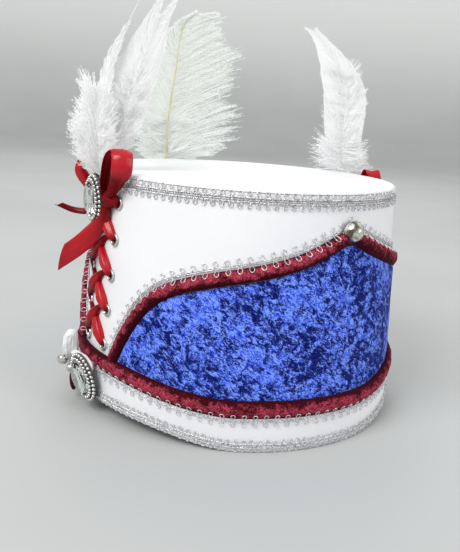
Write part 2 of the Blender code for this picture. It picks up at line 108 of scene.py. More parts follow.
FEATHERS = {
    # x, y, z, width, thickness of the blade in mm, and the quill's place across it from -1 to 1
    "marabou": (
        (2.0, -101.7, 141.0, 2.2, 2.2, 0.0),
        (0.0, -103.0, 149.0, 14.0, 6.0, 0.0),
        (0.0, -105.6, 156.0, 22.0, 9.0, 0.1),
        (-1.0, -106.6, 164.0, 26.0, 10.0, 0.1),
        (-1.6, -107.4, 174.0, 28.0, 11.0, 0.1),
        (-1.2, -106.6, 184.0, 26.0, 10.0, 0.1),
        (-0.8, -105.4, 192.0, 18.0, 7.0, 0.0),
        (-0.6, -104.8, 197.0, 8.0, 4.0, 0.0),
    ),
    "slim": (
        (-2.2, -101.7, 141.0, 2.0, 2.0, 0.0),
        (-3.8, -102.0, 149.0, 2.0, 1.4, 0.0),
        (-6.2, -101.4, 157.0, 2.4, 1.4, 0.0),
        (-7.0, -100.2, 172.0, 4.4, 1.4, 0.0),
        (-7.4, -99.9, 192.0, 7.0, 1.4, 0.0),
        (-5.4, -97.0, 211.0, 7.2, 1.4, 0.1),
        (-3.0, -93.8, 221.0, 5.4, 1.4, 0.2),
        (-0.6, -90.2, 230.0, 2.4, 1.2, 0.0),
        (6.0, -80.3, 254.0, 1.4, 1.0, 0.0),
    ),
    "goose": (
        (-6.2, -101.7, 141.0, 2.2, 2.2, 0.0),
        (-6.4, -100.7, 149.6, 16.0, 3.0, 0.0),
        (-6.0, -97.4, 156.0, 23.0, 3.6, 0.0),
        (-5.2, -91.0, 172.0, 26.0, 4.0, 0.0),
        (-2.8, -85.6, 194.0, 27.0, 3.0, 0.0),
        (1.0, -79.7, 215.0, 25.0, 3.0, 0.05),
        (4.6, -74.1, 233.0, 15.5, 2.4, 0.1),
        (8.3, -68.5, 247.0, 11.5, 2.0, 0.1),
        (9.8, -66.6, 255.0, 7.0, 1.2, 0.1),
    ),
    "ostrich": (
        (-99.4, -17.4, 128.0, 2.4, 2.4, 0.0),
        (-101.8, -12.8, 141.0, 18.0, 3.0, 0.0),
        (-102.6, -9.3, 150.5, 46.0, 5.0, -0.02),
        (-99.5, -3.0, 157.0, 64.0, 8.0, -0.22),
        (-95.6, 1.9, 175.0, 74.0, 10.0, -0.37),
        (-96.2, 1.4, 200.0, 70.0, 10.0, -0.30),
        (-95.2, 2.8, 225.0, 62.0, 10.0, -0.30),
        (-93.2, 6.0, 246.0, 40.0, 9.0, -0.50),
        (-89.2, 12.0, 258.5, 16.0, 5.0, -0.92),
    ),
    "back": (
        (-6.0, 101.3, 137.0, 6.0, 2.2, 0.0),
        (-14.0, 101.4, 149.6, 22.0, 2.4, 0.0),
        (-14.8, 96.5, 157.0, 25.0, 4.0, 0.0),
        (-13.5, 92.5, 178.0, 28.0, 4.0, 0.0),
        (-14.0, 90.5, 205.0, 31.5, 4.0, 0.05),
        (-18.4, 82.8, 227.0, 23.5, 3.0, 0.05),
        (-25.0, 71.6, 243.0, 10.5, 2.4, 0.1),
        (-29.0, 65.0, 250.0, 8.0, 1.4, 0.0),
    ),
}


# ---------------------------------------------------------------- places on the hat
def smoothstep(share):
    share = np.clip(share, 0.0, 1.0)
    return share * share * (3 - 2 * share)


def rise(angle):
    """How far the rim lifts off the surface at the front and the back."""
    forward = np.cos(np.radians(angle))
    return FRONT_RISE * smoothstep((forward - 0.5) / 0.5) + BACK_RISE * smoothstep((-forward - 0.2) / 0.8)


def dip(angle):
    """How far the band's upper edge and its piping sag beside the front."""
    away = np.abs((np.asarray(angle) + 180) % 360 - 180)
    return 0.0020 * np.exp(-(((away - 37) / 17) ** 2))


def wall_radius(height):
    return CROWN_RIM_RADIUS + (CROWN_TOP_RADIUS - CROWN_RIM_RADIUS) * height / CROWN_HEIGHT


def around(angle, radius, height):
    angle, radius, height = np.broadcast_arrays(np.radians(angle), radius, height)
    return np.stack([radius * np.sin(angle), -radius * np.cos(angle), height], -1)


def on_wall(angle, height, out):
    return around(angle, wall_radius(height) + out, height)


def lifted(angle, radius, height):
    """A point near the rim, moved up with it and kept as far outside the wall."""
    height = np.asarray(height)
    sag = dip(angle) * smoothstep((height - 0.006) / 0.013)
    higher = height + np.where(height < RISING_BELOW, rise(angle) - sag, 0)
    return around(angle, radius + wall_radius(higher) - wall_radius(height), higher)


def wall_frame(angle, height, out):
    """Local X runs round the hat, Y up the wall and Z straight out of it."""
    slope = math.atan2(CROWN_RIM_RADIUS - CROWN_TOP_RADIUS, CROWN_HEIGHT)
    turn = Matrix.Rotation(math.radians(angle), 4, "Z") @ Matrix.Rotation(math.radians(90) - slope, 4, "X")
    return Matrix.Translation(Vector(on_wall(angle, height, out))) @ turn


def facing_frame(centre, azimuth, elevation):
    turn = Matrix.Rotation(math.radians(azimuth), 4, "Z")
    return Matrix.Translation(centre) @ turn @ Matrix.Rotation(math.radians(90 - elevation), 4, "X")


def unit(vectors):
    return vectors / np.maximum(np.linalg.norm(vectors, axis=-1, keepdims=True), 1e-12)


def gone_along(points):
    """The way gone along a line at each of its points."""
    return np.concatenate([[0], np.cumsum(np.linalg.norm(np.diff(points, axis=0), axis=1))])


def through(rows, steps):
    """A smooth curve through rows of numbers, read at these row numbers."""
    rows = np.asarray(rows, float)
    last = len(rows) - 1
    index = np.clip(np.floor(steps).astype(int), 0, last - 1)
    t = (np.asarray(steps) - index)[..., None]
    a, b, c, d = (rows[np.clip(index + shift, 0, last)] for shift in (-1, 0, 1, 2))
    return b + t * (c - a) / 2 + t**2 * (2 * a - 5 * b + 4 * c - d) / 2 + t**3 * (3 * b - a - 3 * c + d) / 2


class Course:
    """A smooth line through rows that start with x, y, z, read by the share of its length."""

    def __init__(self, rows):
        self.rows = np.array(rows, float)
        self.steps = np.linspace(0, len(rows) - 1, 40 * (len(rows) - 1) + 1)
        gone = gone_along(through(self.rows, self.steps)[:, :3])
        self.shares = gone / gone[-1]

    def at(self, share):
        return through(self.rows, np.interp(share, self.shares, self.steps))

    def heading(self, share):
        share = np.asarray(share)
        return unit((self.at(np.minimum(share + 0.01, 1)) - self.at(np.maximum(share - 0.01, 0)))[..., :3])


def ripples(u, v, waves):
    """A smooth made-up unevenness from a few crossing waves of (u turns, v turns, phase, size)."""
    total = 0
    for across, along, phase, size in waves:
        total = total + size * np.sin(math.tau * (across * u + along * v) + phase)
    return total


# ---------------------------------------------------------------- materials
class Link:
    """A socket that Python's own signs can work on."""

    def __init__(self, finish, socket):
        self.finish = finish
        self.socket = socket

    def maths(self, operation, *values):
        return self.finish.node("Math", {"operation": operation}, dict(enumerate(values)))

    def __add__(self, other):
        return self.maths("ADD", self, other)

    def __sub__(self, other):
        return self.maths("SUBTRACT", self, other)

    def __mul__(self, other):
        return self.maths("MULTIPLY", self, other)

    def __radd__(self, other):
        return self.maths("ADD", other, self)

    def __rsub__(self, other):
        return self.maths("SUBTRACT", other, self)

    def __rmul__(self, other):
        return self.maths("MULTIPLY", other, self)


class Finish:
    """One material and the nodes in it."""

    def __init__(self, name, **constants):
        self.material = bpy.data.materials.new(name)
        self.material.use_nodes = True
        self.tree = self.material.node_tree
        self.shader = self.tree.nodes["Principled BSDF"]
        for socket, value in constants.items():
            self.shader.inputs[socket.replace("_", " ")].default_value = value

    def node(self, kind, settings=None, sockets=None, output=0):
        made = self.tree.nodes.new("ShaderNode" + kind)
        for name, value in (settings or {}).items():
            setattr(made, name, value)
        for name, value in (sockets or {}).items():
            if isinstance(value, Link):
                self.tree.links.new(value.socket, made.inputs[name])
            else:
                made.inputs[name].default_value = value
        return Link(self, made.outputs[output])

    def feed(self, **links):
        for name, link in links.items():
            self.tree.links.new(link.socket, self.shader.inputs[name.replace("_", " ")])
        return self.material

    def place(self):
        return self.node("TexCoord", output=3)

    def cloth_place(self):
        """The piece's own UV map, in metres over the cloth."""
        return self.node("UVMap", {"uv_map": "UVMap"})

    def part(self, place, axis):
        """A place's x, y or z, for axis 0, 1 or 2."""
        return self.node("SeparateXYZ", {}, {"Vector": place}, axis)

    def written(self, name):
        """The value that the mesh holds under this name."""
        return self.node("Attribute", {"attribute_name": name}, output=2)

    def stretched(self, where, scale, turn=0):
        """The place, drawn out this many times along axes that are turned about Z by degrees."""
        sockets = {"Vector": where, "Rotation": (0, 0, math.radians(turn)), "Scale": scale}
        return self.node("Mapping", {"vector_type": "TEXTURE"}, sockets)

    def noise(self, where, scale, detail=2.0, roughness=0.5, distortion=0.0):
        sockets = {"Vector": where, "Scale": scale, "Detail": detail}
        return self.node("TexNoise", {}, {**sockets, "Roughness": roughness, "Distortion": distortion})

    def span(self, value, low, high, to_low=0.0, to_high=1.0):
        sockets = {"Value": value, "From Min": low, "From Max": high, "To Min": to_low, "To Max": to_high}
        return self.node("MapRange", {"interpolation_type": "SMOOTHSTEP"}, sockets)

    def blend(self, share, first, second):
        """The first colour where the share is 0 and the second where it is 1."""
        return self.node("Mix", {"data_type": "RGBA"}, {0: share, 6: colour(first), 7: colour(second)}, 2)

    def tinted(self, value, low, high, first, second, most=1.0):
        """The first colour where the value is low, and at most this share of the second where it is high."""
        return self.blend(self.span(value, low, high, 0.0, most), first, second)

    def bump(self, height, strength, distance, over=None):
        sockets = {"Height": height, "Strength": strength, "Distance": distance}
        if over:
            sockets["Normal"] = over
        return self.node("Bump", {}, sockets)


def colour(shade):
    """A colour given as it looks on a screen, from 0 to 255. A link stays as it is."""
    if isinstance(shade, Link):
        return shade
    linear = [(c / 255 / 12.92) if c <= 10 else ((c / 255 + 0.055) / 1.055) ** 2.4 for c in shade]
    return (*linear, 1.0)


def leatherette():
    finish = Finish("leatherette", Specular_IOR_Level=0.45)
    where = finish.place()
    grain = finish.node("TexVoronoi", {"feature": "F1"}, {"Vector": where, "Scale": 1500.0})
    pores = finish.noise(where, 2600.0, 3.0)
    waves = finish.noise(where, 14.0)
    tone = finish.noise(where, 9.0, 3.0)
    base = finish.tinted(tone, 0.35, 0.7, (236, 236, 239), (229, 231, 236))
    base = finish.tinted(pores, 0.55, 0.8, base, (214, 216, 222), 0.25)
    bumps = finish.bump(grain * 0.6 + pores * 0.4, 0.18, 0.0002)
    bumps = finish.bump(waves, 0.35, 0.004, bumps)
    rough = finish.span(tone + grain * 0.2, 0.2, 0.9, 0.36, 0.5)
    return finish.feed(Base_Color=base, Roughness=rough, Normal=bumps)


def crushed_velvet():
    """Pile that lies in crossing strokes, with painted shade that makes it a little darker towards the back
    of the hat, where u is large.
    """
    finish = Finish("crushed_velvet_blue", Sheen_Weight=0.18, Sheen_Roughness=0.35, Specular_IOR_Level=0.12)
    finish.shader.inputs["Sheen Tint"].default_value = colour((110, 140, 255))
    where = finish.cloth_place()
    brushed = finish.stretched(where, (1.0, 1.35, 1.0), 55)
    stroked = finish.stretched(where, (1.0, 1.9, 1.0), 50)
    crush = finish.noise(brushed, 160.0, 4.0, 0.62, 1.4)
    strokes = finish.noise(stroked, 560.0, 3.0, 0.6, 1.4)
    broad = finish.noise(where, 27.0, 2.0, 0.5, 0.8)
    pile = finish.noise(stroked, 1100.0)
    sparkle = finish.noise(where, 1500.0, 1.0)
    lie = crush + (strokes - 0.5) * 0.62 + (broad - 0.5) * 0.45
    # painted shade: the colour darkens a little towards the back of the hat
    backward_painted_shade = finish.span(finish.part(where, 0), 0.06, 0.20, 0.0, 0.055)
    lit = finish.span(lie + (sparkle - 0.5) * 0.22 - backward_painted_shade, 0.375, 0.60)
    bright = finish.tinted(strokes + (sparkle - 0.5) * 0.6, 0.36, 0.68, (36, 68, 224), (128, 162, 255))
    shade = finish.tinted(pile, 0.42, 0.70, (2, 9, 66), (14, 38, 156))
    base = finish.blend(lit, shade, bright)
    bumps = finish.bump(lie, 0.6, 0.0012)
    bumps = finish.bump(sparkle * 0.6 + pile * 0.4, 0.4, 0.0002, bumps)
    return finish.feed(Base_Color=base, Roughness=finish.span(lie, 0.42, 0.6, 0.8, 0.5), Normal=bumps)


def piping_velvet():
    """A painted highlight runs along the piping's lower side, with painted shade towards its edges; u runs
    over the tube from low to high.
    """
    finish = Finish("piping_velvet_maroon", Sheen_Weight=0.06, Sheen_Roughness=0.4, Specular_IOR_Level=0.1)
    finish.shader.inputs["Sheen Tint"].default_value = colour((220, 80, 110))
    where = finish.place()
    over = finish.part(finish.cloth_place(), 0)
    crush = finish.noise(where, 150.0, 4.0, 0.6, 0.5)
    flecks = finish.noise(where, 700.0, 3.0, 0.6)
    sparkle = finish.noise(where, 1700.0, 1.0)
    # painted highlight where u is near 0.36 and painted shade away from it, over the crushed pile's mottling
    off_painted_highlight = over - 0.36
    lie = crush * 0.8 + (flecks - 0.5) * 0.6 + 0.20 - off_painted_highlight * off_painted_highlight * 2.1
    shade = finish.tinted(sparkle, 0.35, 0.7, (34, 0, 6), (74, 2, 18))
    bright = finish.tinted(sparkle, 0.35, 0.7, (114, 12, 34), (192, 78, 100))
    base = finish.tinted(lie, 0.40, 0.68, shade, bright)
    bumps = finish.bump(lie, 0.4, 0.0008)
    bumps = finish.bump(sparkle, 0.4, 0.0002, bumps)
    return finish.feed(Base_Color=base, Roughness=finish.span(lie, 0.4, 0.7, 0.85, 0.6), Normal=bumps)


def gimp_thread(name, shade, dark_reflection_share):
    finish = Finish(name, Metallic=0.55)
    where = finish.place()
    # painted glints and shade: along the winding the colour runs from the shade colour to near white
    winding_and_glints = finish.noise(where, 1100.0)
    # painted reflections: patches where the colour darkens stand for dark surroundings that the metal
    # reflects
    dark_reflections = finish.noise(where, 130.0, 3.0)
    base = finish.tinted(winding_and_glints, 0.40, 0.60, shade, (252, 252, 254))
    base = finish.tinted(dark_reflections, 0.48, 0.70, base, (96, 94, 100), dark_reflection_share)
    bumps = finish.bump(winding_and_glints, 0.6, 0.0003)
    return finish.feed(Base_Color=base, Roughness=finish.span(dark_reflections, 0.3, 0.7, 0.26, 0.4), Normal=bumps)


def satin():
    """Ribbon with a matte back. The mesh says how far that back shows, and where painted shade darkens folds
    and shadowed parts.
    """
    finish = Finish("red_satin", Specular_IOR_Level=0.06, Coat_Roughness=0.22)
    where = finish.cloth_place()
    dull_side_and_shade = finish.written("dull_side_and_shade")
    threads = {"Vector": where, "Scale": 1600.0, "Distortion": 1.0, "Detail": 1.0}
    weave = finish.node("TexWave", {"bands_direction": "Y"}, threads)
    slubs = finish.noise(finish.stretched(where, (1.0, 12.0, 1.0)), 1200.0)
    folds_and_shade = finish.noise(finish.stretched(where, (1.0, 3.0, 1.0)), 170.0)
    # painted shade: the shaded colour stands for the matte back and also for folds and parts in shadow; the
    # lengthwise noise adds painted fold shade
    shiny = finish.tinted(slubs, 0.3, 0.7, (164, 10, 24), (180, 18, 32))
    shaded = finish.tinted(slubs, 0.3, 0.7, (92, 0, 8), (114, 2, 12))
    base = finish.tinted(dull_side_and_shade + (folds_and_shade - 0.5) * 0.5, 0.1, 0.9, shiny, shaded)
    bumps = finish.bump(weave * 0.6 + slubs * 0.4, 0.05, 0.0001)
    bumps = finish.bump(folds_and_shade, 0.3, 0.0008, bumps)
    coat = 0.6 - dull_side_and_shade * 0.58
    return finish.feed(Base_Color=base, Coat_Weight=coat, Roughness=0.3 + dull_side_and_shade * 0.2, Normal=bumps)


def bright_nickel():
    finish = Finish("bright_nickel", Metallic=1.0)
    where = finish.place()
    cloud = finish.noise(where, 190.0)
    dents = finish.noise(where, 230.0)
    # painted reflections: the cloud darkens the nickel's colour in brownish patches that stand for what it
    # reflects
    base = finish.tinted(cloud, 0.40, 0.62, (232, 229, 222), (104, 98, 88))
    bumps = finish.bump(dents, 0.5, 0.0010)
    return finish.feed(Base_Color=base, Roughness=finish.span(cloud, 0.3, 0.75, 0.14, 0.26), Normal=bumps)


def nickel_tarnish_and_shade():
    """Nickel that is dark where the mesh says that it is hollow: painted shade in the eyelets' holes, and
    tarnish with painted shade on the brooches' dish.
    """
    finish = Finish("nickel_tarnish_and_shade")
    hollow = finish.written("hollow")
    cloud = finish.noise(finish.place(), 400.0, 3.0)
    base = finish.tinted(cloud, 0.35, 0.7, (222, 221, 220), (182, 180, 178))
    base = finish.blend(hollow, base, (34, 28, 30))
    return finish.feed(Base_Color=base, Metallic=1.0 - hollow * 0.8, Roughness=0.16 + hollow * 0.5)


def clear_crystal():
    finish = Finish("clear_crystal", Transmission_Weight=1.0, IOR=1.5, Specular_IOR_Level=0.6)
    backdrop_tint_cloud = finish.noise(finish.place(), 160.0)
    # painted reflection: the greenish tint stands for green surroundings seen through the clear stone
    base = finish.tinted(backdrop_tint_cloud, 0.4, 0.65, (252, 254, 253), (222, 234, 229))
    return finish.feed(Base_Color=base, Roughness=finish.span(backdrop_tint_cloud, 0.3, 0.7, 0.0, 0.03))


def down(name, shade, tip, glow=0.07):
    """A feather's barbs, a little darker at the quill; the faint glow stands for light that comes through."""
    finish = Finish(name, Sheen_Weight=0.08, Sheen_Roughness=0.5, Specular_IOR_Level=0.2)
    finish.shader.inputs["Emission Strength"].default_value = glow
    streak = finish.noise(finish.place(), 700.0)
    outward = finish.part(finish.cloth_place(), 1)
    base = finish.tinted(outward, 0.0, 0.35, shade, tip)
    base = finish.tinted(streak, 0.4, 0.8, base, (205, 206, 212), 0.07)
    rough = finish.span(streak, 0.3, 0.7, 0.7, 0.9)
    return finish.feed(Base_Color=base, Emission_Color=base, Roughness=rough)


def quill_horn():
    finish = Finish("quill_horn", Specular_IOR_Level=0.5)
    streak = finish.noise(finish.stretched(finish.place(), (1.0, 1.0, 10.0)), 900.0)
    base = finish.tinted(streak, 0.35, 0.7, (206, 202, 156), (188, 183, 134))
    return finish.feed(Base_Color=base, Roughness=finish.span(streak, 0.3, 0.7, 0.35, 0.5))


def studio_paper():
    """Pale paper with painted light that makes it grow lighter where it curves up."""
    finish = Finish("studio_paper", Specular_IOR_Level=0.2)
    where = finish.place()
    cloud = finish.noise(where, 3.0)
    base = finish.tinted(cloud, 0.3, 0.7, (186, 189, 189), (181, 184, 184))
    # painted light: the paper grows lighter with height on its sweep
    base = finish.tinted(finish.part(where, 2), 0.02, 0.9, base, (246, 248, 248))
    return finish.feed(Base_Color=base, Roughness=finish.span(cloud, 0.3, 0.7, 0.8, 0.9))


LEATHERETTE = leatherette()
BLUE_VELVET = crushed_velvet()
MAROON_VELVET = piping_velvet()
SILVER_GIMP = gimp_thread("gimp_thread_silver", (176, 175, 181), 0.2)
# the top braid's thread is a little darker, with more dark patches: painted shade for the shadows between its
# threads
SHADED_GIMP = gimp_thread("gimp_thread_shaded", (170, 168, 174), 0.3)
RED_SATIN = satin()
NICKEL = bright_nickel()
NICKEL_TARNISH_AND_SHADE = nickel_tarnish_and_shade()
CRYSTAL = clear_crystal()
WHITE_DOWN = down("white_down", (226, 227, 227), (236, 237, 238))
SOFT_DOWN = down("soft_down", (233, 235, 236), (241, 242, 243), 0.08)
CREAM_DOWN = down("cream_down", (212, 215, 209), (228, 232, 229))
QUILL = quill_horn()


# ---------------------------------------------------------------- making pieces
RING_STEPS = 240
RIBBON_WALL = (0.0003, 0.0)  # its thickness, and where that goes, from -1 inside to 1 outside
PANEL_WALL = (0.0008, -1.0)


def new_shape(value=None):
    shape = bmesh.new()
    shape.loops.layers.uv.new("UVMap")
    if value:
        shape.verts.layers.float.new(value)
    return shape


def add_grid(shape, points, uv=None, strips=False, dull_side_and_shade=None):
    """Adds a grid laid on points[row, column]. With strips, only every second column of faces stays."""
    rows, columns = points.shape[0] - 1, points.shape[1] - 1
    part = new_shape()
    bmesh.ops.create_grid(part, x_segments=columns, y_segments=rows, size=0.5, calc_uvs=True)
    if strips:
        part.faces.ensure_lookup_table()
        gone = [face for face in part.faces if face.index % columns % 2]
        bmesh.ops.delete(part, geom=gone, context="FACES_ONLY")
        bmesh.ops.delete(part, geom=[edge for edge in part.edges if not edge.link_faces], context="EDGES")
    mesh = bpy.data.meshes.new("work")
    part.to_mesh(mesh)
    part.free()
    mesh.vertices.foreach_set("co", np.ascontiguousarray(points, np.float32).ravel())
    if uv is not None:
        corners = np.empty(len(mesh.loops), np.int32)
        mesh.loops.foreach_get("vertex_index", corners)
        flat = np.ascontiguousarray(uv.reshape(-1, 2)[corners], np.float32)
        mesh.uv_layers[0].uv.foreach_set("vector", flat.ravel())
    if dull_side_and_shade is not None:
        values = np.ascontiguousarray(np.broadcast_to(np.asarray(dull_side_and_shade, np.float32), points.shape[:2]))
        mesh.attributes.new("dull_side_and_shade", "FLOAT", "POINT").data.foreach_set("value", values.ravel())
    shape.from_mesh(mesh)
    bpy.data.meshes.remove(mesh)


def add_shape(shape, other, place):
    """Moves the other shape to its place and puts it into this one."""
    other.transform(place)
    mesh = bpy.data.meshes.new("work")
    other.to_mesh(mesh)
    other.free()
    shape.from_mesh(mesh)
    bpy.data.meshes.remove(mesh)


def close_ends(shape, sides):
    open_edges = [edge for edge in shape.edges if edge.is_boundary]
    if open_edges:
        bmesh.ops.holes_fill(shape, edges=open_edges, sides=sides)


def finish_object(name, shape, material):
    mesh = bpy.data.meshes.new(name)
    shape.to_mesh(mesh)
    shape.free()
    mesh.shade_smooth()
    mesh.materials.append(material)
    made = bpy.data.objects.new(name, mesh)
    bpy.context.collection.objects.link(made)
    return made


def finish_piece(name, shape, material, nodes=(), weld=1e-6, sharp=None, wall=None):
    """Makes the shape an object at the origin that rides on the hat and stands for the CAD nodes.

    Without a weld, its vertices stay apart and its faces keep the way that their grid was laid.
    """
    if weld:
        bmesh.ops.remove_doubles(shape, verts=shape.verts, dist=weld)
        bmesh.ops.recalc_face_normals(shape, faces=shape.faces)
    piece = finish_object(name, shape, material)
    if sharp is not None:
        piece.data.set_sharp_from_angle(angle=math.radians(sharp))
    if wall:
        solidify = piece.modifiers.new("solidify", "SOLIDIFY")
        solidify.thickness, solidify.offset = wall
        solidify.use_even_offset = False
    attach(piece, "root")
    if nodes:
        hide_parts(*nodes)
    return piece


def turned(profile, steps):
    """(radius, height) points turned about Z, closed on themselves unless they start on the axis."""
    shape = new_shape()
    verts = [shape.verts.new((0, -radius, height)) for radius, height in profile]
    edges = [shape.edges.new(pair) for pair in zip(verts, verts[1:])]
    if profile[0][0] > 0:
        edges.append(shape.edges.new((verts[-1], verts[0])))
    bmesh.ops.spin(
        shape, geom=verts + edges, cent=(0, 0, 0), axis=(0, 0, 1), angle=math.tau, steps=steps, use_merge=True
    )
    return shape


def follow_rim(shape):
    for vert in shape.verts:
        if vert.co.z < RISING_BELOW:
            angle = math.degrees(math.atan2(vert.co.x, -vert.co.y))
            vert.co = Vector(lifted(angle, math.hypot(vert.co.x, vert.co.y), vert.co.z))


def rounded(corner, radius, start, end, steps):
    """Points round a corner's inside from one angle to another, about its centre."""
    return [
        (corner[0] + radius * math.cos(math.radians(turn)), corner[1] + radius * math.sin(math.radians(turn)))
        for turn in np.linspace(start, end, steps)
    ]


def swept(shape, path, radius, outward, sides, closed=False):
    """A tube along the path's points."""
    if closed:
        heading = unit(np.roll(path, -1, 0) - np.roll(path, 1, 0))
    else:
        heading = unit(np.gradient(path, axis=0))
    side = unit(np.cross(heading, outward))
    up = unit(np.cross(side, heading))
    turn = np.linspace(0, math.tau, sides + 1)[None, :, None]
    radius = np.broadcast_to(np.asarray(radius, float).reshape(-1, 1, 1), (len(path), 1, 1))
    points = path[:, None] + radius * np.cos(turn) * side[:, None] + radius * np.sin(turn) * up[:, None]
    if closed:
        points = np.concatenate([points, points[:1]])
    add_grid(shape, points)


# ---------------------------------------------------------------- crown and band
def crown():
    low, top = 0.0020, CROWN_HEIGHT - WALL - GAP
    profile = [(wall_radius(height), height) for height in (low, top)]
    profile += [(radius - WALL, height) for radius, height in reversed(profile)]
    wall = turned(profile, RING_STEPS)
    follow_rim(wall)
    finish_piece("crown_wall_leatherette", wall, LEATHERETTE, ["crown_wall"], sharp=40)
    underside, edge = CROWN_HEIGHT - WALL, 0.0017
    profile = [(0, underside), (CROWN_TOP_RADIUS - 0.0004, underside)]
    profile += rounded((CROWN_TOP_RADIUS - edge, CROWN_HEIGHT - edge), edge, -8, 90, 7)
    profile += [(radius, CROWN_HEIGHT) for radius in (0.090, 0.070, 0.045, 0.020, 0)]
    lid = turned(profile, RING_STEPS)
    finish_piece("crown_top_leatherette", lid, LEATHERETTE, ["crown_top"], sharp=50)


def band():
    inner, outer, edge = wall_radius(0) + GAP, BAND_OUTER_RADIUS, 0.0006
    profile = rounded((inner + edge, edge), edge, 180, 270, 4)
    profile += rounded((outer - edge, edge), edge, 270, 360, 4)
    profile += rounded((outer - edge, BAND_TOP - edge), edge, 0, 90, 4)
    profile += [(wall_radius(BAND_TOP) + GAP, BAND_TOP)]
    shape = turned(profile, RING_STEPS)
    follow_rim(shape)
    finish_piece("band_leatherette", shape, LEATHERETTE, ["band"], sharp=50)


# ---------------------------------------------------------------- piping and panels
PIPING_SEAT = wall_radius(PIPING_MIDDLE) + 0.0012
CLOTH_PER_DEGREE = 0.0019  # metres round the band


def piping_radius(height, fullness):
    """The outer radius of the band's piping: this share of its bulge, but never inside what it lies on."""
    bed = np.where(np.asarray(height) < BAND_TOP + GAP, BAND_OUTER_RADIUS, wall_radius(height)) + GAP
    return np.maximum(PIPING_SEAT + (PIPING_BULGE_RADIUS - PIPING_SEAT) * fullness, bed)


def over_and_along(columns, gone):
    """A UV map for a tube: how far over it from its low side, and the way along it."""
    over = np.linspace(0, 1, columns)[None, :]
    over = np.where(over > 0.96, 0.0, over)
    return np.stack([over + 0 * gone, gone + 0 * over], -1)


def band_piping():
    angle = np.linspace(0, 360, 721)[:, None]
    turn = np.radians(np.linspace(-90, 90, 17))[None, :]
    waves = ((31, 1, 0.3, 0.025), (57, -2, 1.7, 0.03), (101, 3, 4.0, 0.02))
    uneven = 1 + ripples(angle / 360, turn / math.tau, waves)
    height = PIPING_MIDDLE + PIPING_HALF_HEIGHT * np.sin(turn) + 0 * angle
    bulge = (PIPING_BULGE_RADIUS - PIPING_SEAT) * np.cos(turn) * uneven
    radius = np.maximum(PIPING_SEAT + bulge, piping_radius(height, 0))
    for back_height, back_radius in (
        (BAND_TOP + 2 * GAP, wall_radius(BAND_TOP) + GAP),
        (BAND_TOP + 2 * GAP, BAND_OUTER_RADIUS + GAP),
        (PIPING_LOW, BAND_OUTER_RADIUS + GAP),
    ):
        height = np.concatenate([height, back_height + 0 * angle], 1)
        radius = np.concatenate([radius, back_radius + 0 * angle], 1)
    shape = new_shape()
    points = lifted(angle + 0 * height, radius, height)
    add_grid(shape, points, over_and_along(20, angle * CLOTH_PER_DEGREE))
    nodes = ["band_piping"]
    piece = finish_piece("band_piping_velvet", shape, MAROON_VELVET, nodes, weld=2e-6)


def seam_rows():
    """(angle, height, across, upward) along the seam, in degrees and metres; its peak points straight up."""
    half = [through(rows, np.arange(2 * len(rows) - 1) / 2) for rows in (SEAM_FRONT, SEAM_BACK)]
    peak = len(half[0]) - 1
    points = np.concatenate([half[0][:-1], half[1]])
    rows = []
    for index, (angle, height) in enumerate(points):
        if index in (0, len(points) - 1):
            up = (-1.0 if index == 0 else 1.0, 0.0)
        elif index == peak:
            up = (0.0, 1 / 0.90)
        else:
            (a, z), (b, y) = points[index - 1], points[index + 1]
            along = np.array([math.radians(b - a) * wall_radius(height * MM) / MM, y - z])
            along /= np.linalg.norm(along)
            up = (-along[1], along[0])
        rows.append((angle, height * MM, *up))
    return np.array(rows)


SEAM = seam_rows()
SEAM_STEPS = np.linspace(0, len(SEAM) - 1, 2001)
SEAM_READ = through(SEAM, SEAM_STEPS)
SEAM_GONE = gone_along(on_wall(SEAM_READ[:, 0], SEAM_READ[:, 1], 0))
SEAM_LENGTH = SEAM_GONE[-1]
SEAM_PEAK = SEAM_GONE[np.argmax(SEAM_READ[:, 1])]


def beside_seam(gone, distance, out, side):
    """(points, angles, heights) this far along the seam and above it; the right side mirrors the left."""
    station = through(SEAM, np.interp(gone, SEAM_GONE, SEAM_STEPS))
    past = np.abs(gone - np.clip(gone, 0, SEAM_LENGTH))
    height = station[..., 1] + distance * station[..., 3] - past
    angle = station[..., 0] + np.degrees(distance * station[..., 2] / wall_radius(height))
    return on_wall(side * angle, height, out), side * angle, height


def panel_piping_out(distance):
    """How far the panel's piping stands out of the wall at this distance from the seam."""
    across = np.clip(np.abs(np.asarray(distance) - PANEL_PIPING_MIDDLE) / PANEL_PIPING_HALF_WIDTH, 0, 1)
    return GAP + PANEL_PIPING_DEPTH * np.sqrt(1 - across**2)


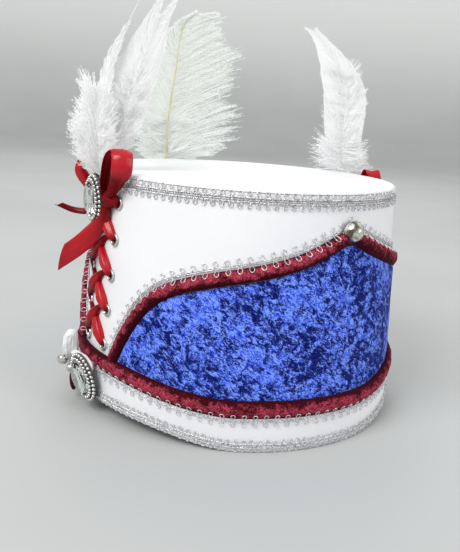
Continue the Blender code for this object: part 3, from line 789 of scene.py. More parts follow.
def panel_piping(side, word):
    """The tube along the seam: thin at both ends, fuller on its lower side at the peak and behind it."""
    gone = np.linspace(-PANEL_PIPING_PAST_SEAM, SEAM_LENGTH + PANEL_PIPING_PAST_SEAM, 431)[:, None]
    turn = np.radians(np.linspace(180, 0, 17))[None, :]
    waves = ((17, 1, 0.9, 0.03), (41, -2, 2.2, 0.03), (67, 2, 5.0, 0.02))
    uneven = 1 + ripples(gone / SEAM_LENGTH, turn / math.tau, waves)
    ends = np.minimum(gone, SEAM_LENGTH - gone) + PANEL_PIPING_PAST_SEAM
    end_share = np.clip(1 - ends / PANEL_PIPING_ROUNDED_END, 0, 1)
    taper = 0.45 + 0.55 * np.sqrt(np.clip(1 - end_share**2, 0, 1))
    at_peak = np.exp(-(((gone - SEAM_PEAK) / 0.006) ** 2))
    behind_peak = smoothstep((gone - SEAM_PEAK - 0.004) / 0.02)
    fuller = 1 + (0.55 * behind_peak + 0.3 * at_peak) * (np.cos(turn) < 0)
    distance = PANEL_PIPING_MIDDLE + PANEL_PIPING_HALF_WIDTH * np.cos(turn) * (0.7 + 0.3 * taper) * fuller
    out = GAP + PANEL_PIPING_DEPTH * np.sin(turn) * uneven * taper
    points = beside_seam(gone + 0 * turn, distance, out, side)[0]
    points = np.concatenate([points, points[:, :1]], 1)
    shape = new_shape()
    add_grid(shape, points, over_and_along(18, gone)[:, ::-1])
    close_ends(shape, 40)
    name, nodes = f"panel_piping_velvet_{word}", [f"panel_piping_{word}"]
    piece = finish_piece(name, shape, MAROON_VELVET, nodes)


def panel_velvet(side, word):
    """The blue panel from the seam down to the band's piping, a little puffed between its edges."""
    columns, rows = 176, 56
    middle_radius = 0.102
    _, angle, top = beside_seam(np.linspace(0, SEAM_LENGTH, columns + 1), PANEL_EDGE, 0, 1)
    bottom = PIPING_TOP - 0.0005 + rise(angle) - dip(angle)
    share = np.linspace(0, 1, rows + 1)[:, None]
    height = bottom + (top - bottom) * share
    inward = np.minimum(np.minimum(share, 1 - share) * (top - bottom) / 0.004, 1)
    arc = np.cumsum(np.concatenate([[0], np.radians(np.diff(angle)) * middle_radius]))
    waves = ((2.1, 0.7, 0.2, 0.22), (3.7, -1.9, 2.0, 0.14), (7.3, 3.1, 4.0, 0.07))
    puff = ripples(arc / 0.1, height / 0.1, waves)
    out = GAP + 0.0011 + 0.0006 * inward + puff * MM * inward
    points = on_wall(side * np.broadcast_to(angle, height.shape), height, out)
    uv = np.stack([np.broadcast_to(arc, height.shape), height], -1)
    if side > 0:
        points, uv = points[::-1], uv[::-1]
    shape = new_shape()
    add_grid(shape, points[:, ::-1], uv[:, ::-1])
    name, nodes = f"panel_velvet_{word}", [f"velvet_panel_{word}"]
    piece = finish_piece(name, shape, BLUE_VELVET, nodes, weld=0, wall=PANEL_WALL)


# ---------------------------------------------------------------- gimp braid
THREAD_OFF_SHARE = 0.4  # the share of its radius by which a thread's middle stands off what it lies on
BRAIDS = {
    # the loop's foot, neck, height and half width in mm, the radii of its two threads, and each strand's
    # height, swing, lift, turns in a period, phase and radius
    "picot": (
        (0.40, 1.20, 3.75, 1.25),
        (0.25, 0.23),
        ((0.45, 0.12, 0.10, 2, 0.0, 0.23), (-0.45, 0.12, 0.10, 2, math.pi, 0.23)),
    ),
    "top": (
        (1.55, 2.20, 4.45, 1.15),
        (0.32, 0.32),
        (
            (1.20, 0.34, 0.26, 2, 0.0, 0.33),
            (1.20, 0.34, 0.26, 2, math.pi, 0.33),
            (0.0, 0.22, 0.10, 3, 0.6, 0.33),
            (-1.20, 0.34, 0.26, 2, 0.0, 0.33),
            (-1.20, 0.34, 0.26, 2, math.pi, 0.33),
        ),
    ),
    "hem": (
        (1.10, 1.75, 3.50, 1.05),
        (0.29, 0.29),
        (
            (1.00, 0.34, 0.26, 2, 0.0, 0.31),
            (1.00, 0.34, 0.26, 2, math.pi, 0.31),
            (0.0, 0.26, 0.10, 2, 0.0, 0.30),
            (-1.00, 0.34, 0.26, 2, 0.0, 0.31),
            (-1.00, 0.34, 0.26, 2, math.pi, 0.31),
        ),
    ),
}


def gimp_loop(foot, neck, height, half, reach):
    """One period's points (along, up, out) of a thread that rises into a ring and comes back."""
    middle = (neck + height) / 2
    rising = [
        (-reach * 0.55, foot - 0.12, 0.20),
        (-0.42, neck, 0.45),
        (-half * 0.92, middle - 0.42, 0.25),
        (-half, middle + 0.35, 0.20),
        (-half * 0.45, height, 0.20),
    ]
    return [(-reach, foot, 0.10)] + rising + [(-along, up, out) for along, up, out in reversed(rising)]


def twisted(pitch, up, swing, lift, turns, phase):
    """One period's points of a strand that winds round a line at this height above the middle."""
    steps = 6
    points = []
    for step in range(steps):
        turn = math.tau * (turns * step / steps) + phase
        along = (step / steps - 0.5) * pitch
        points.append((along, up + swing * math.cos(turn), 0.38 + lift * math.sin(turn)))
    return points


def braid_threads(kind, period):
    """(one period's points, thread radius in mm) of each thread of a braid, in mm over the cloth."""
    pitch = period / MM
    loop_sizes, (upper, lower), strands = BRAIDS[kind]
    loop = gimp_loop(*loop_sizes, pitch / 2)
    threads = [(loop, upper), ([(along, -up, out) for along, up, out in loop], lower)]
    return threads + [(twisted(pitch, *strand), radius) for *strand, radius in strands]


def repeated(period_points, period, count, closed):
    """The thread's (along, up, out) in metres over all its periods, as a smooth line."""
    per_point = 2
    rows = []
    for index in range(count):
        rows += [(x + (index + 0.5) * period / MM, y, z) for x, y, z in period_points]
    if not closed:
        steps = np.linspace(0, len(rows) - 1, (len(rows) - 1) * per_point + 1)
        return through(rows, steps) * MM
    before = [(x - count * period / MM, y, z) for x, y, z in rows[-2:]]
    after = [(x + count * period / MM, y, z) for x, y, z in rows[:2]]
    steps = 2 + np.arange(len(rows) * per_point) / per_point
    return through(before + rows + after, steps) * MM


def ring_braid(node, kind, middle, radius_at, pitch, material=SILVER_GIMP):
    """A braid round the hat whose middle line is at this height."""
    girth = math.tau * float(radius_at(np.array(middle)))
    count = round(girth / pitch)
    period = girth / count
    shape = new_shape()
    for points, thread in braid_threads(kind, period):
        line = repeated(points, period, count, True)
        angle = line[:, 0] / girth * 360
        height = middle + line[:, 1]
        path = lifted(angle, radius_at(height) + line[:, 2] + thread * MM * THREAD_OFF_SHARE, height)
        swept(shape, path, thread * MM, around(angle, 1.0, 0.0), 4, closed=True)
    finish_piece(f"{node}_gimp", shape, material, [node], weld=2e-6)


def panel_braid(side, word):
    """The braid along the seam, whose lower loops climb over the panel's piping."""
    count = round(SEAM_LENGTH / 0.0064)
    period = SEAM_LENGTH / count
    shape = new_shape()
    for points, thread in braid_threads("picot", period):
        line = repeated(points, period, count, False)
        distance = line[:, 1] + 0.0004
        out = panel_piping_out(distance) + line[:, 2] + thread * MM * THREAD_OFF_SHARE
        path, angle, _ = beside_seam(np.clip(line[:, 0], 0, SEAM_LENGTH), distance, out, side)
        swept(shape, path, thread * MM, around(angle, 1.0, 0.0), 5)
    close_ends(shape, 8)
    finish_piece(f"panel_braid_gimp_{word}", shape, SILVER_GIMP, [f"panel_braid_{word}"])


def braids():

    def band_bed(height):
        across = np.clip(np.abs(np.asarray(height) - PIPING_MIDDLE) / PIPING_HALF_HEIGHT, 0, 1)
        return np.maximum(BAND_OUTER_RADIUS + GAP, piping_radius(height, np.sqrt(1 - across**2)) + 0.0001)

    def top_bed(height):
        return wall_radius(height) + GAP

    ring_braid("band_braid", "picot", 0.0196, band_bed, 0.0063)
    ring_braid("hem_braid", "hem", 0.0040, band_bed, 0.0046)
    ring_braid("top_braid", "top", 0.1427, top_bed, 0.0049, SHADED_GIMP)
    for side, word in SIDES:
        panel_braid(side, word)


# ---------------------------------------------------------------- studs, eyelets and brooches
BEAD_ROWS = ((0.94, 0.0024, 0.00122), (0.795, 0.0040, 0.00108))  # share of the width, height, bead radius
STONE_EDGE = 0.69  # its share of the brooch's width
BAND_BROOCH_BALLS = (
    # x, y, z and the radius, in mm
    ((-9.9, -121.6, 28.8), 3.5),
    ((-3.8, -118.3, 24.6), 2.9),
    ((-2.6, -116.6, 24.0), 1.6),
)


def side_stud(side, word):
    radius, centre = 0.0063, 0.0016
    profile = [(0, 0), (0.0050, 0), (0.0052, 0.0004)]
    profile += rounded((0, centre), radius, -12, 90, 14)[:-1] + [(0, centre + radius)]
    shape = turned(profile, 40)
    shape.transform(wall_frame(side * STUD_ANGLE, STUD_HEIGHT, 2 * GAP + 0.0010))
    finish_piece(f"side_stud_nickel_{word}", shape, NICKEL, [f"side_stud_{word}"])


def from_front(end, angle):
    """The angle round the hat of a place this far from the middle of its front or back."""
    return angle if end == "front" else 180 - angle


def eyelet_place(row, end):
    """(angle, height) of an eyelet of the wearer's left column, at the front or the back."""
    low = LOWEST_EYELET[end]
    height = low + (TOP_EYELET - low) * row / (EYELET_ROWS - 1)
    return from_front(end, LOWEST_EYELET_ANGLE + EYELET_ANGLE_STEP * row), height


def eyelets(end):
    shape = new_shape("hollow")
    nodes = []
    for side, word in SIDES:
        for row in range(EYELET_ROWS):
            angle, height = eyelet_place(row, end)
            profile = [(0, 0.00005), (0.0020, 0.0001), (0.0024, 0.0003)]
            profile += rounded((0.00325, 0.0004), 0.00078, 175, 0, 8)
            profile += [(0.0039, 0), (0, 0)]
            ring = turned(profile, 28)
            hollow = ring.verts.layers.float.new("hollow")
            for vert in ring.verts:
                # painted shade: the eyelet's hole is dark
                vert[hollow] = 1.0 if math.hypot(vert.co.x, vert.co.y) < 0.0022 else 0.0
            add_shape(shape, ring, wall_frame(side * angle, height, GAP))
            nodes.append(f"eyelet_{end}_{word}_{row + 1}")
    finish_piece(f"eyelets_nickel_{end}", shape, NICKEL_TARNISH_AND_SHADE, nodes)


def oval_turned(profile, steps, half_width, half_height):
    shape = turned(profile, steps)
    bmesh.ops.scale(shape, vec=(half_width, half_height, 1), verts=shape.verts)
    return shape


def add_bead_row(shape, place, half_width, half_height, height, bead):
    """Beads at even steps round an oval."""
    turns = np.linspace(0, math.tau, 721)
    gone = gone_along(np.stack([half_width * np.sin(turns), half_height * np.cos(turns)], -1))
    count = int(gone[-1] / (bead * 2.2))
    for index in range(count):
        turn = np.interp(gone[-1] * index / count, gone, turns)
        ball = new_shape()
        bmesh.ops.create_icosphere(ball, subdivisions=2, radius=bead)
        at = Vector((half_width * math.sin(turn), half_height * math.cos(turn), height))
        add_shape(shape, ball, place @ Matrix.Translation(at))


def brooch(name, place, half_width, half_height, stone_rise, balls=()):
    """An oval dish with two rows of beads and a cut stone; profile radii are shares of the half width."""
    shape = new_shape("hollow")
    profile = [(0, 0.0004), (0.97, 0.0004), (1.0, 0.0010), (0.985, 0.0016), (0.74, 0.0036)]
    profile += [(0.725, 0.0046), (0.695, 0.0047), (0.685, 0.0034), (0, 0.0032)]
    plate = oval_turned(profile, 48, half_width, half_height)
    hollow = plate.verts.layers.float.new("hollow")
    for vert in plate.verts:
        share = math.hypot(vert.co.x / half_width, vert.co.y / half_height)
        # tarnish and painted shade: the dish is dark under the beads and a little dark under the stone
        vert[hollow] = 0.9 if share > 0.73 else 0.3 if share < 0.65 else 0.0
    add_shape(shape, plate, place)
    for share, height, bead in BEAD_ROWS:
        add_bead_row(shape, place, half_width * share, half_height * share, height, bead)
    for middle, radius in balls:
        ball = new_shape()
        bmesh.ops.create_uvsphere(ball, u_segments=28, v_segments=18, radius=radius * MM)
        add_shape(shape, ball, Matrix.Translation(Vector(middle) * MM))
    finish_piece(f"{name}_setting_nickel", shape, NICKEL_TARNISH_AND_SHADE, [f"{name}_setting"], sharp=50)

    profile = [(0, 0.0035), (STONE_EDGE - 0.04, 0.0035), (STONE_EDGE, 0.0046)]
    for turn in map(math.radians, (24, 46, 66)):
        profile.append((STONE_EDGE * math.cos(turn), 0.0044 + stone_rise * math.sin(turn)))
    profile.append((0, 0.0044 + stone_rise * 0.92))
    stone = oval_turned(profile, 11, half_width, half_height)
    stone.transform(place)
    finish_piece(f"{name}_stone_crystal", stone, CRYSTAL, [f"{name}_stone"], sharp=4)


def brooches():
    brooch("crown_brooch", facing_frame((-0.0024, -0.1040, 0.1314), 0, -3), 0.0112, 0.0150, 0.0034)
    tilted = facing_frame((0.0070, -0.1122, 0.0222), 11, -8) @ Matrix.Rotation(math.radians(27), 4, "Z")
    brooch("band_brooch", tilted, 0.0120, 0.0156, 0.0036, BAND_BROOCH_BALLS)


RUFFLE = (
    # x, y, z and the roll's radius in mm, from under the brooch round its upper side
    (-14.6, -113.4, 21.9, 2.0),
    (-14.9, -116.2, 29.6, 3.0),
    (-12.7, -117.2, 37.9, 3.3),
    (-10.6, -116.9, 43.4, 3.0),
    (-9.8, -115.4, 44.4, 2.8),
    (-11.4, -114.2, 38.1, 3.0),
    (-11.4, -113.4, 32.1, 2.6),
    (-5.0, -112.8, 31.6, 2.2),
    (4.0, -112.5, 32.2, 2.4),
    (11.4, -112.3, 30.2, 2.6),
    (12.1, -112.2, 25.4, 1.5),
)


def ruffle():
    """The ruched white roll behind the band brooch."""
    share = np.linspace(0, len(RUFFLE) - 1, 107)
    read = through(np.array(RUFFLE) * MM, share)
    centre, radius = read[:, None, :3], read[:, None, 3:]
    heading = unit(np.gradient(read[:, :3], axis=0))
    side = unit(np.cross(heading, [0.2, -0.98, 0.0]))
    up = unit(np.cross(side, heading))
    turn = np.linspace(0, math.tau, 47)[None, :, None]
    along = share[:, None, None]
    creases = 1 + 0.08 * np.sin(8 * turn + 1.8 * np.sin(1.3 * along)) + 0.04 * np.sin(3 * turn + 5.1 * along)
    creases = creases + 0.035 * np.sin(13 * turn - 2.2 * np.sin(2.1 * along))
    shape = new_shape()
    add_grid(shape, centre + radius * creases * (np.cos(turn) * side[:, None] + np.sin(turn) * up[:, None]))
    name, nodes = "brooch_rosette_ruffle", ["brooch_rosette"]
    piece = finish_piece(name, shape, LEATHERETTE, nodes, wall=RIBBON_WALL)


def velvet_loop():
    """The small maroon loop under the band brooch."""
    pad = new_shape()
    bmesh.ops.create_uvsphere(pad, u_segments=36, v_segments=24, radius=1.0)
    for vert in pad.verts:
        x, y, z = vert.co
        fold = 1 + 0.10 * math.sin(9 * x + 2.0) * math.cos(5 * y)
        vert.co = Vector((x * 0.0056 * fold, y * 0.0074 * fold, max(z * 0.0021, -0.0020) + 0.0021))
    pad.transform(facing_frame((-0.0133, -0.1112, 0.0126), -6, 0))
    piece = finish_piece("velvet_loop_maroon", pad, MAROON_VELVET, ["velvet_loop"])


# ---------------------------------------------------------------- satin ribbon
LACE_WIDTH = 0.0100
KNOT_WIDTH = 0.0120
LEAST_FLAT_WIDTH = 10  # in mm
HALF_CURLS = np.linspace(0.001, 2.9, 400)
CHORD_SHARES = np.sin(HALF_CURLS) / HALF_CURLS


def curl_for(chord_share):
    """Half the angle that a ribbon curls through across its width, so that it looks this narrow."""
    return np.interp(-np.clip(chord_share, 0.08, 0.9999), -CHORD_SHARES, HALF_CURLS)


def ribbon_used(points, wide):
    """The length and the area of ribbon along these points."""
    steps = np.linalg.norm(np.diff(points, axis=0), axis=1)
    return np.array([steps.sum(), (steps * (wide[1:] + wide[:-1]) / 2).sum()])


def add_ribbon(shape, centre, side, normal, wide, chord, steps, pleats, dull_side_and_shade, phase=0.0, skew=None):
    """A ribbon along a line, curled to show only the chord of its width; pleats crease it lengthwise."""
    half = curl_for(chord / wide)[:, None]
    s = np.linspace(-0.5, 0.5, steps + 1)[None, :]
    radius = (wide[:, None] / 2) / half
    turn = 2 * half * s
    across = radius * np.sin(turn)
    lift = -radius * (1 - np.cos(turn)) + radius * (1 - np.cos(half)) * 0.5
    gone = gone_along(centre)[:, None]
    lift = lift + np.reshape(pleats, (-1, 1)) * np.sin(math.tau * 2.6 * s + phase + 25 * gone)
    points = centre[:, None] + side[:, None] * across[..., None] + normal[:, None] * lift[..., None]
    if skew is not None:
        heading = unit(np.gradient(centre, axis=0))
        points = points + heading[:, None] * (skew[:, None] * s)[..., None]
    uv = np.stack([s * wide[:, None], gone + 0 * s], -1)
    add_grid(shape, points, uv, dull_side_and_shade=np.reshape(np.clip(dull_side_and_shade, 0, 1), (-1, 1)))


def ribbon_piece(node, name, shape, width, used):
    """Finishes the ribbon. Its width, in metres, and the (length, area) of it that were used go only into a
    comparison whose result is dropped.
    """
    piece = finish_piece(name, shape, RED_SATIN, [node], weld=0, wall=RIBBON_WALL)
    long, area = used.tolist()
    min(area, width * long)


def bow_piece(node, across, width, cut, rows):
    """A loop or, where it is cut, a tail of the bow."""
    course = Course(np.array(rows) * (MM, MM, MM, MM, 1))
    share = np.linspace(0, 1, (60 if cut else 90) + 1)
    read = course.at(share)
    centre, chord = read[:, :3], np.maximum(read[:, 3], 0.0015)
    heading = course.heading(share)
    side = np.broadcast_to(unit(np.array(across, float)), heading.shape)
    side = unit(side - heading * (side * heading).sum(1, keepdims=True))
    normal = unit(np.cross(heading, side))
    wide = np.minimum(width * MM, chord * 2.6)
    chord = np.minimum(chord, wide * 0.995)
    pleats = 0.0005 * np.clip(1 - chord / (width * MM), 0, 1)
    skew = smoothstep((share - 0.72) / 0.28) * cut * MM if cut else None
    shape = new_shape("dull_side_and_shade")
    add_ribbon(shape, centre, side, normal, wide, chord, 16, pleats, read[:, 4], skew=skew)
    flat_width = max(width, LEAST_FLAT_WIDTH) * MM
    ribbon_piece(node, f"{node}_satin", shape, flat_width, ribbon_used(centre, wide))


BOW = {
    # the way across the ribbon, its width and how far its cut end slants in mm (0 for a loop), then its rows
    # of x, y, z and the width that shows in mm, and how much matte back and painted shade it shows
    "bow_loop_left": (
        (0.38, 0.92, 0),
        12.5,
        0,
        (
            (7.4, -101.2, 132.0, 3.2, 1.0),
            (9.0, -102.8, 138.7, 6.4, 0.9),
            (10.8, -102.7, 147.0, 8.4, 0.8),
            (15.0, -102.7, 155.1, 9.8, 0.6),
            (19.9, -102.3, 160.3, 11.0, 0.2),
            (25.0, -101.0, 162.3, 11.8, 0.0),
            (29.3, -101.9, 160.0, 11.8, 0.0),
            (30.8, -102.5, 156.0, 11.8, 0.0),
            (30.9, -102.7, 151.6, 11.8, 0.0),
            (28.4, -102.2, 148.0, 11.0, 0.5),
            (23.5, -102.1, 143.5, 8.4, 1.0),
            (17.2, -102.2, 138.1, 5.4, 1.0),
            (11.0, -102.1, 133.1, 3.0, 1.0),
        ),
    ),
    "bow_loop_right": (
        (0.38, 0.92, 0),
        11.0,
        0,
        (
            (-3.6, -101.4, 132.7, 3.0, 1.0),
            (-6.4, -101.2, 140.6, 4.0, 1.0),
            (-10.0, -100.9, 149.6, 5.0, 0.9),
            (-13.5, -101.4, 157.4, 6.0, 0.9),
            (-15.6, -104.6, 157.0, 6.4, 0.8),
            (-17.2, -108.0, 152.0, 6.4, 0.5),
            (-17.0, -109.6, 147.0, 6.6, 0.1),
            (-16.2, -107.4, 142.4, 7.4, 0.0),
            (-15.6, -103.6, 137.4, 6.8, 0.2),
            (-11.6, -101.4, 132.8, 3.5, 0.6),
        ),
    ),
    "back_bow_loop_left": (
        (0.68, 0.73, 0),
        10.0,
        0,
        (
            (5.0, 101.9, 134.0, 2.8, 0.7),
            (3.4, 102.6, 140.0, 4.5, 0.6),
            (4.6, 103.0, 146.4, 7.5, 0.4),
            (6.8, 103.2, 150.4, 9.6, 0.1),
            (9.4, 103.4, 151.8, 9.8, 0.0),
            (11.6, 103.8, 149.8, 9.8, 0.0),
            (12.4, 104.4, 145.0, 9.5, 0.2),
            (11.0, 104.0, 139.5, 7.5, 0.6),
            (8.0, 103.0, 135.6, 3.0, 0.9),
        ),
    ),
    "back_bow_loop_right": (
        (0, 1, 0),
        11.5,
        0,
        (
            (-5.6, 103.4, 133.4, 2.6, 0.35),
            (-13.0, 104.4, 136.2, 6.6, 0.35),
            (-21.0, 105.0, 135.6, 10.0, 0.35),
            (-27.5, 105.2, 130.5, 10.6, 0.35),
            (-27.0, 105.0, 124.0, 10.0, 0.35),
            (-18.0, 104.4, 123.6, 7.6, 0.35),
            (-8.5, 103.5, 128.4, 2.8, 0.35),
        ),
    ),
    "bow_tail_long": (
        (0.45, 0.30, -0.84),
        12.0,
        15.0,
        (
            (8.8, -102.6, 131.8, 3.2, 1.0),
            (8.8, -103.3, 125.3, 5.4, 0.8),
            (6.0, -105.2, 118.2, 9.0, 0.5),
            (1.6, -108.6, 111.4, 10.8, 0.35),
            (-5.8, -114.0, 102.6, 11.6, 0.3),
            (-18.2, -121.0, 92.6, 11.6, 0.4),
        ),
    ),
    "bow_tail_short": (
        (0.2, 0.1, -0.97),
        6.0,
        5.0,
        (
            (-17.4, -101.5, 122.4, 3.0, 0.9),
            (-22.1, -105.0, 120.8, 3.6, 0.7),
            (-26.8, -111.0, 121.3, 3.4, 0.8),
            (-30.5, -118.0, 124.2, 2.6, 0.9),
        ),
    ),
    "back_bow_tail_left": (
        (1, 0, 0),
        11.5,
        9.0,
        (
            (2.6, 103.4, 128.3, 3.0, 0.35),
            (4.6, 105.0, 118.0, 7.0, 0.35),
            (8.0, 107.0, 104.0, 10.6, 0.35),
            (10.0, 108.0, 92.0, 11.2, 0.35),
        ),
    ),
    "back_bow_tail_right": (
        (1, 0, 0),
        11.5,
        -9.0,
        (
            (-2.6, 103.4, 128.3, 3.0, 0.35),
            (-6.4, 105.0, 117.0, 7.0, 0.35),
            (-11.5, 107.0, 104.0, 10.6, 0.35),
            (-15.0, 108.0, 96.0, 11.2, 0.35),
        ),
    ),
}


def lace_point(end, angle, height, out):
    return on_wall(from_front(end, angle), height, out)


LACES = (
    # how far across and how high between two rows, then out of the wall and width shown in mm, and how much
    # matte back and painted shade shows
    (
        -1,
        (
            (0.00, 0.00, 0.5, 2.4, 1.0),
            (0.00, 0.20, 1.6, 3.4, 1.0),
            (0.20, 0.38, 2.2, 5.6, 0.7),
            (0.38, 0.56, 3.0, 7.0, 0.45),
            (0.50, 0.75, 2.8, 6.6, 0.4),
            (0.60, 0.92, 1.4, 3.8, 0.7),
            (0.74, 1.00, 0.6, 2.4, 1.0),
            (1.00, 1.00, 0.4, 2.0, 1.0),
        ),
    ),
    (
        1,
        (
            (0.00, 0.00, 0.6, 2.8, 0.9),
            (0.05, 0.12, 1.9, 5.4, 0.4),
            (0.15, 0.32, 2.8, 6.8, 0.0),
            (0.29, 0.52, 2.4, 5.6, 0.1),
            (0.48, 0.69, 1.2, 4.0, 0.5),
            (0.80, 0.86, 0.8, 2.8, 0.8),
            (1.00, 1.00, 0.5, 2.2, 1.0),
        ),
    ),
)


def lacing(end):
    """Two laces that cross between the rows; each comes out of an eyelet rolled up and opens like a leaf."""
    shape = new_shape("dull_side_and_shade")
    share = np.linspace(0, 1, 49)
    opening = 0.85 * np.sin(math.pi * share) ** 0.4
    marks = [eyelet_place(row, end) for row in range(EYELET_ROWS)]
    marks = [(from_front(end, angle), height) for angle, height in marks]
    facing = FEATHER_ACROSS * (1 if end == "front" else [1, -1, 1])
    used = np.zeros(2)
    for row in range(EYELET_ROWS - 1):
        (low_angle, low), (high_angle, high) = marks[row], marks[row + 1]
        vary = 1 + 0.06 * math.sin(2.1 * row + 0.7)
        for first_side, rows in LACES:
            crossing, climbing, out, chord, dull_side_and_shade = through(rows, share * (len(rows) - 1)).T
            start, finish = first_side * low_angle, -first_side * high_angle
            angle = start + (finish - start) * crossing
            height = low + (high - low) * climbing
            points = lace_point(end, angle, height, np.maximum(out, 0.4) * MM)
            chord = np.clip(chord * vary, 2.0, 7.4) * MM
            wide = np.minimum(0.0085, chord * 2.4)
            heading = unit(np.gradient(points, axis=0))
            outward = unit(lace_point(end, angle, 0 * height, 0) * [1, 1, 0])
            lying = unit(np.cross(heading, outward))
            seen = facing - heading * (heading @ facing)[:, None]
            seen = unit(seen) * np.sign((seen * lying).sum(1, keepdims=True))
            side = unit(lying + (seen - lying) * opening[:, None])
            side = unit(side - heading * (side * heading).sum(1, keepdims=True))
            normal = unit(np.cross(side, heading))
            add_ribbon(shape, points, side, normal, wide, chord, 12, 0.0002, dull_side_and_shade, row * 1.3)
            used += ribbon_used(points, wide)
    ribbon_piece(f"lacing_{end}", f"lacing_satin_{end}", shape, LACE_WIDTH, used)


def knot(end, node):
    """The bow's knot and the two short runs of ribbon that roll from it into the top eyelets."""
    shape = new_shape("dull_side_and_shade")
    share = np.linspace(0, 1, 31)
    wave = np.sin(math.pi * share)
    top_angle = eyelet_place(EYELET_ROWS - 1, "front")[0]
    used = np.zeros(2)
    for side_sign, _ in SIDES:
        angle = side_sign * (3.0 + (top_angle - 3.0) * share)
        height = TOP_EYELET + 0.0016 - 0.0020 * share + 0.0012 * wave
        points = lace_point(end, angle, height, 0.0032 - 0.0028 * share**4 + 0.0030 * wave)
        chord = MM * (3.6 + 7.6 * np.sin(math.pi * share**1.3) ** 0.6)
        wide = np.minimum(KNOT_WIDTH, chord * 1.6)
        chord = np.minimum(chord, 0.0105)
        heading = unit(np.gradient(points, axis=0))
        side = unit(np.cross(heading, unit(points * [1, 1, 0])))
        normal = unit(np.cross(side, heading))
        add_ribbon(shape, points, side, normal, wide, chord, 14, 0.0003, 1.0 - 0.3 * share, side_sign)
        used += ribbon_used(points, wide)
    turn = np.linspace(0, math.tau, 41)[:, None]
    along = np.linspace(-1, 1, 15)[None, :]
    bulge = np.sqrt(1 - 0.45 * along**2)
    crease = 1 + 0.10 * np.sin(4 * turn + 2.5 * along) + 0.06 * np.sin(9 * turn - 3 * along)
    height = TOP_EYELET + 0.0042 * bulge * crease * np.sin(turn)
    out = 0.0015 + 0.0016 + 0.0016 * bulge * crease * np.cos(turn)
    angle = 1.6 + 2.2 * along * (1 + 0.08 * np.sin(3 * turn))
    points = lace_point(end, angle, height, out)
    uv = np.stack([0.004 * along + 0 * turn, 0.004 * turn + 0 * along], -1)
    add_grid(shape, points[::-1] if end == "front" else points, uv, dull_side_and_shade=0.8)
    wrap_length, wrap_width = 0.019, 0.0075
    used += (wrap_length, wrap_length * wrap_width)
    ribbon_piece(node, f"{node}_satin", shape, KNOT_WIDTH, used)


# ---------------------------------------------------------------- feathers
HAIRS_PER_TUFT = 6
TUFT_STEPS = 7
BARBULE_HALF_WIDTH = 0.00011
BARBS_OFF_WALL = 0.0012
BARBS_OFF_LID = 0.0007
# a fluff hair's width in mm, how many barbules it has, their length in mm from and to, how far they open in
# degrees as a mean and a spread, and how much it thins towards its tip
FLUFF_HAIR = (0.24, 7, (0.5, 1.5), (28, 10), 0.4)


def bundled(values, group, strength):
    """Pulls each value towards the middle of its group."""
    means = np.bincount(group, values) / np.maximum(np.bincount(group), 1)
    return values + strength * (means[group] - values)


def clear_of_hat(points):
    """Barbs that would run into the crown lie on its top or its wall instead."""
    radius = np.hypot(points[..., 0], points[..., 1])
    push = wall_radius(points[..., 2]) + BARBS_OFF_WALL - radius
    lift = CROWN_HEIGHT + BARBS_OFF_LID - points[..., 2]
    inside = (push > 0) & (lift > 0)
    out = np.where(inside & (push < lift), 1 + push / np.maximum(radius, 1e-6), 1.0)
    points[..., 0] *= out
    points[..., 1] *= out
    points[..., 2] += np.where(inside & (lift <= push), lift, 0)
    return points


def add_hairs(shape, rng, points, facing, shares, width, barbules, length, opening, thin=0.60):
    """Flat barbs along points[step, barb], and the fine barbules that grow on them."""
    steps, barbs = points.shape[0] - 1, points.shape[1]
    q = np.linspace(0, 1, steps + 1)[:, None]
    along = unit(np.gradient(points, axis=0))
    flat = unit(np.cross(facing, along))
    tilt = rng.normal(0, 0.45, barbs)[None, :, None]
    edge = flat * np.cos(tilt) + facing * np.sin(tilt)
    wide = width * MM / 2 * np.clip(1.08 - thin * q, 0.3, 1)
    strip = np.stack([points - edge * wide[..., None], points + edge * wide[..., None]], 2)
    strip = strip.reshape(steps + 1, barbs * 2, 3)
    uv = np.stack([np.repeat(shares, 2, 1), np.broadcast_to(q, (steps + 1, barbs * 2))], -1)
    add_grid(shape, strip, uv, strips=True)

    pick = rng.uniform(0.06, 0.99, (barbules, barbs))
    index = pick * steps * (1 - 1e-9)
    low = index.astype(int)
    part = (index - low)[..., None]
    column = np.broadcast_to(np.arange(barbs), pick.shape)

    def sample(values):
        return values[low, column] * (1 - part) + values[low + 1, column] * part

    root, ahead, face, across = (sample(values) for values in (points, along, facing, flat))
    sign = rng.choice([-1.0, 1.0], pick.shape)[..., None]
    turn = np.radians(rng.normal(*opening, pick.shape))[..., None]
    lift = rng.normal(0, 0.35, pick.shape)[..., None]
    direction = unit(ahead * np.cos(turn) + sign * across * np.sin(turn) + face * lift)
    tip = root + direction * (MM * rng.uniform(*length, pick.shape))[..., None]
    edge = unit(np.cross(direction, face)) * BARBULE_HALF_WIDTH
    ends = [np.stack([end - edge, end + edge], 2).reshape(1, -1, 3) for end in (root, tip)]
    both = clear_of_hat(np.concatenate(ends))
    add_grid(shape, both, np.full(both.shape[:2] + (2,), 0.8), strips=True)


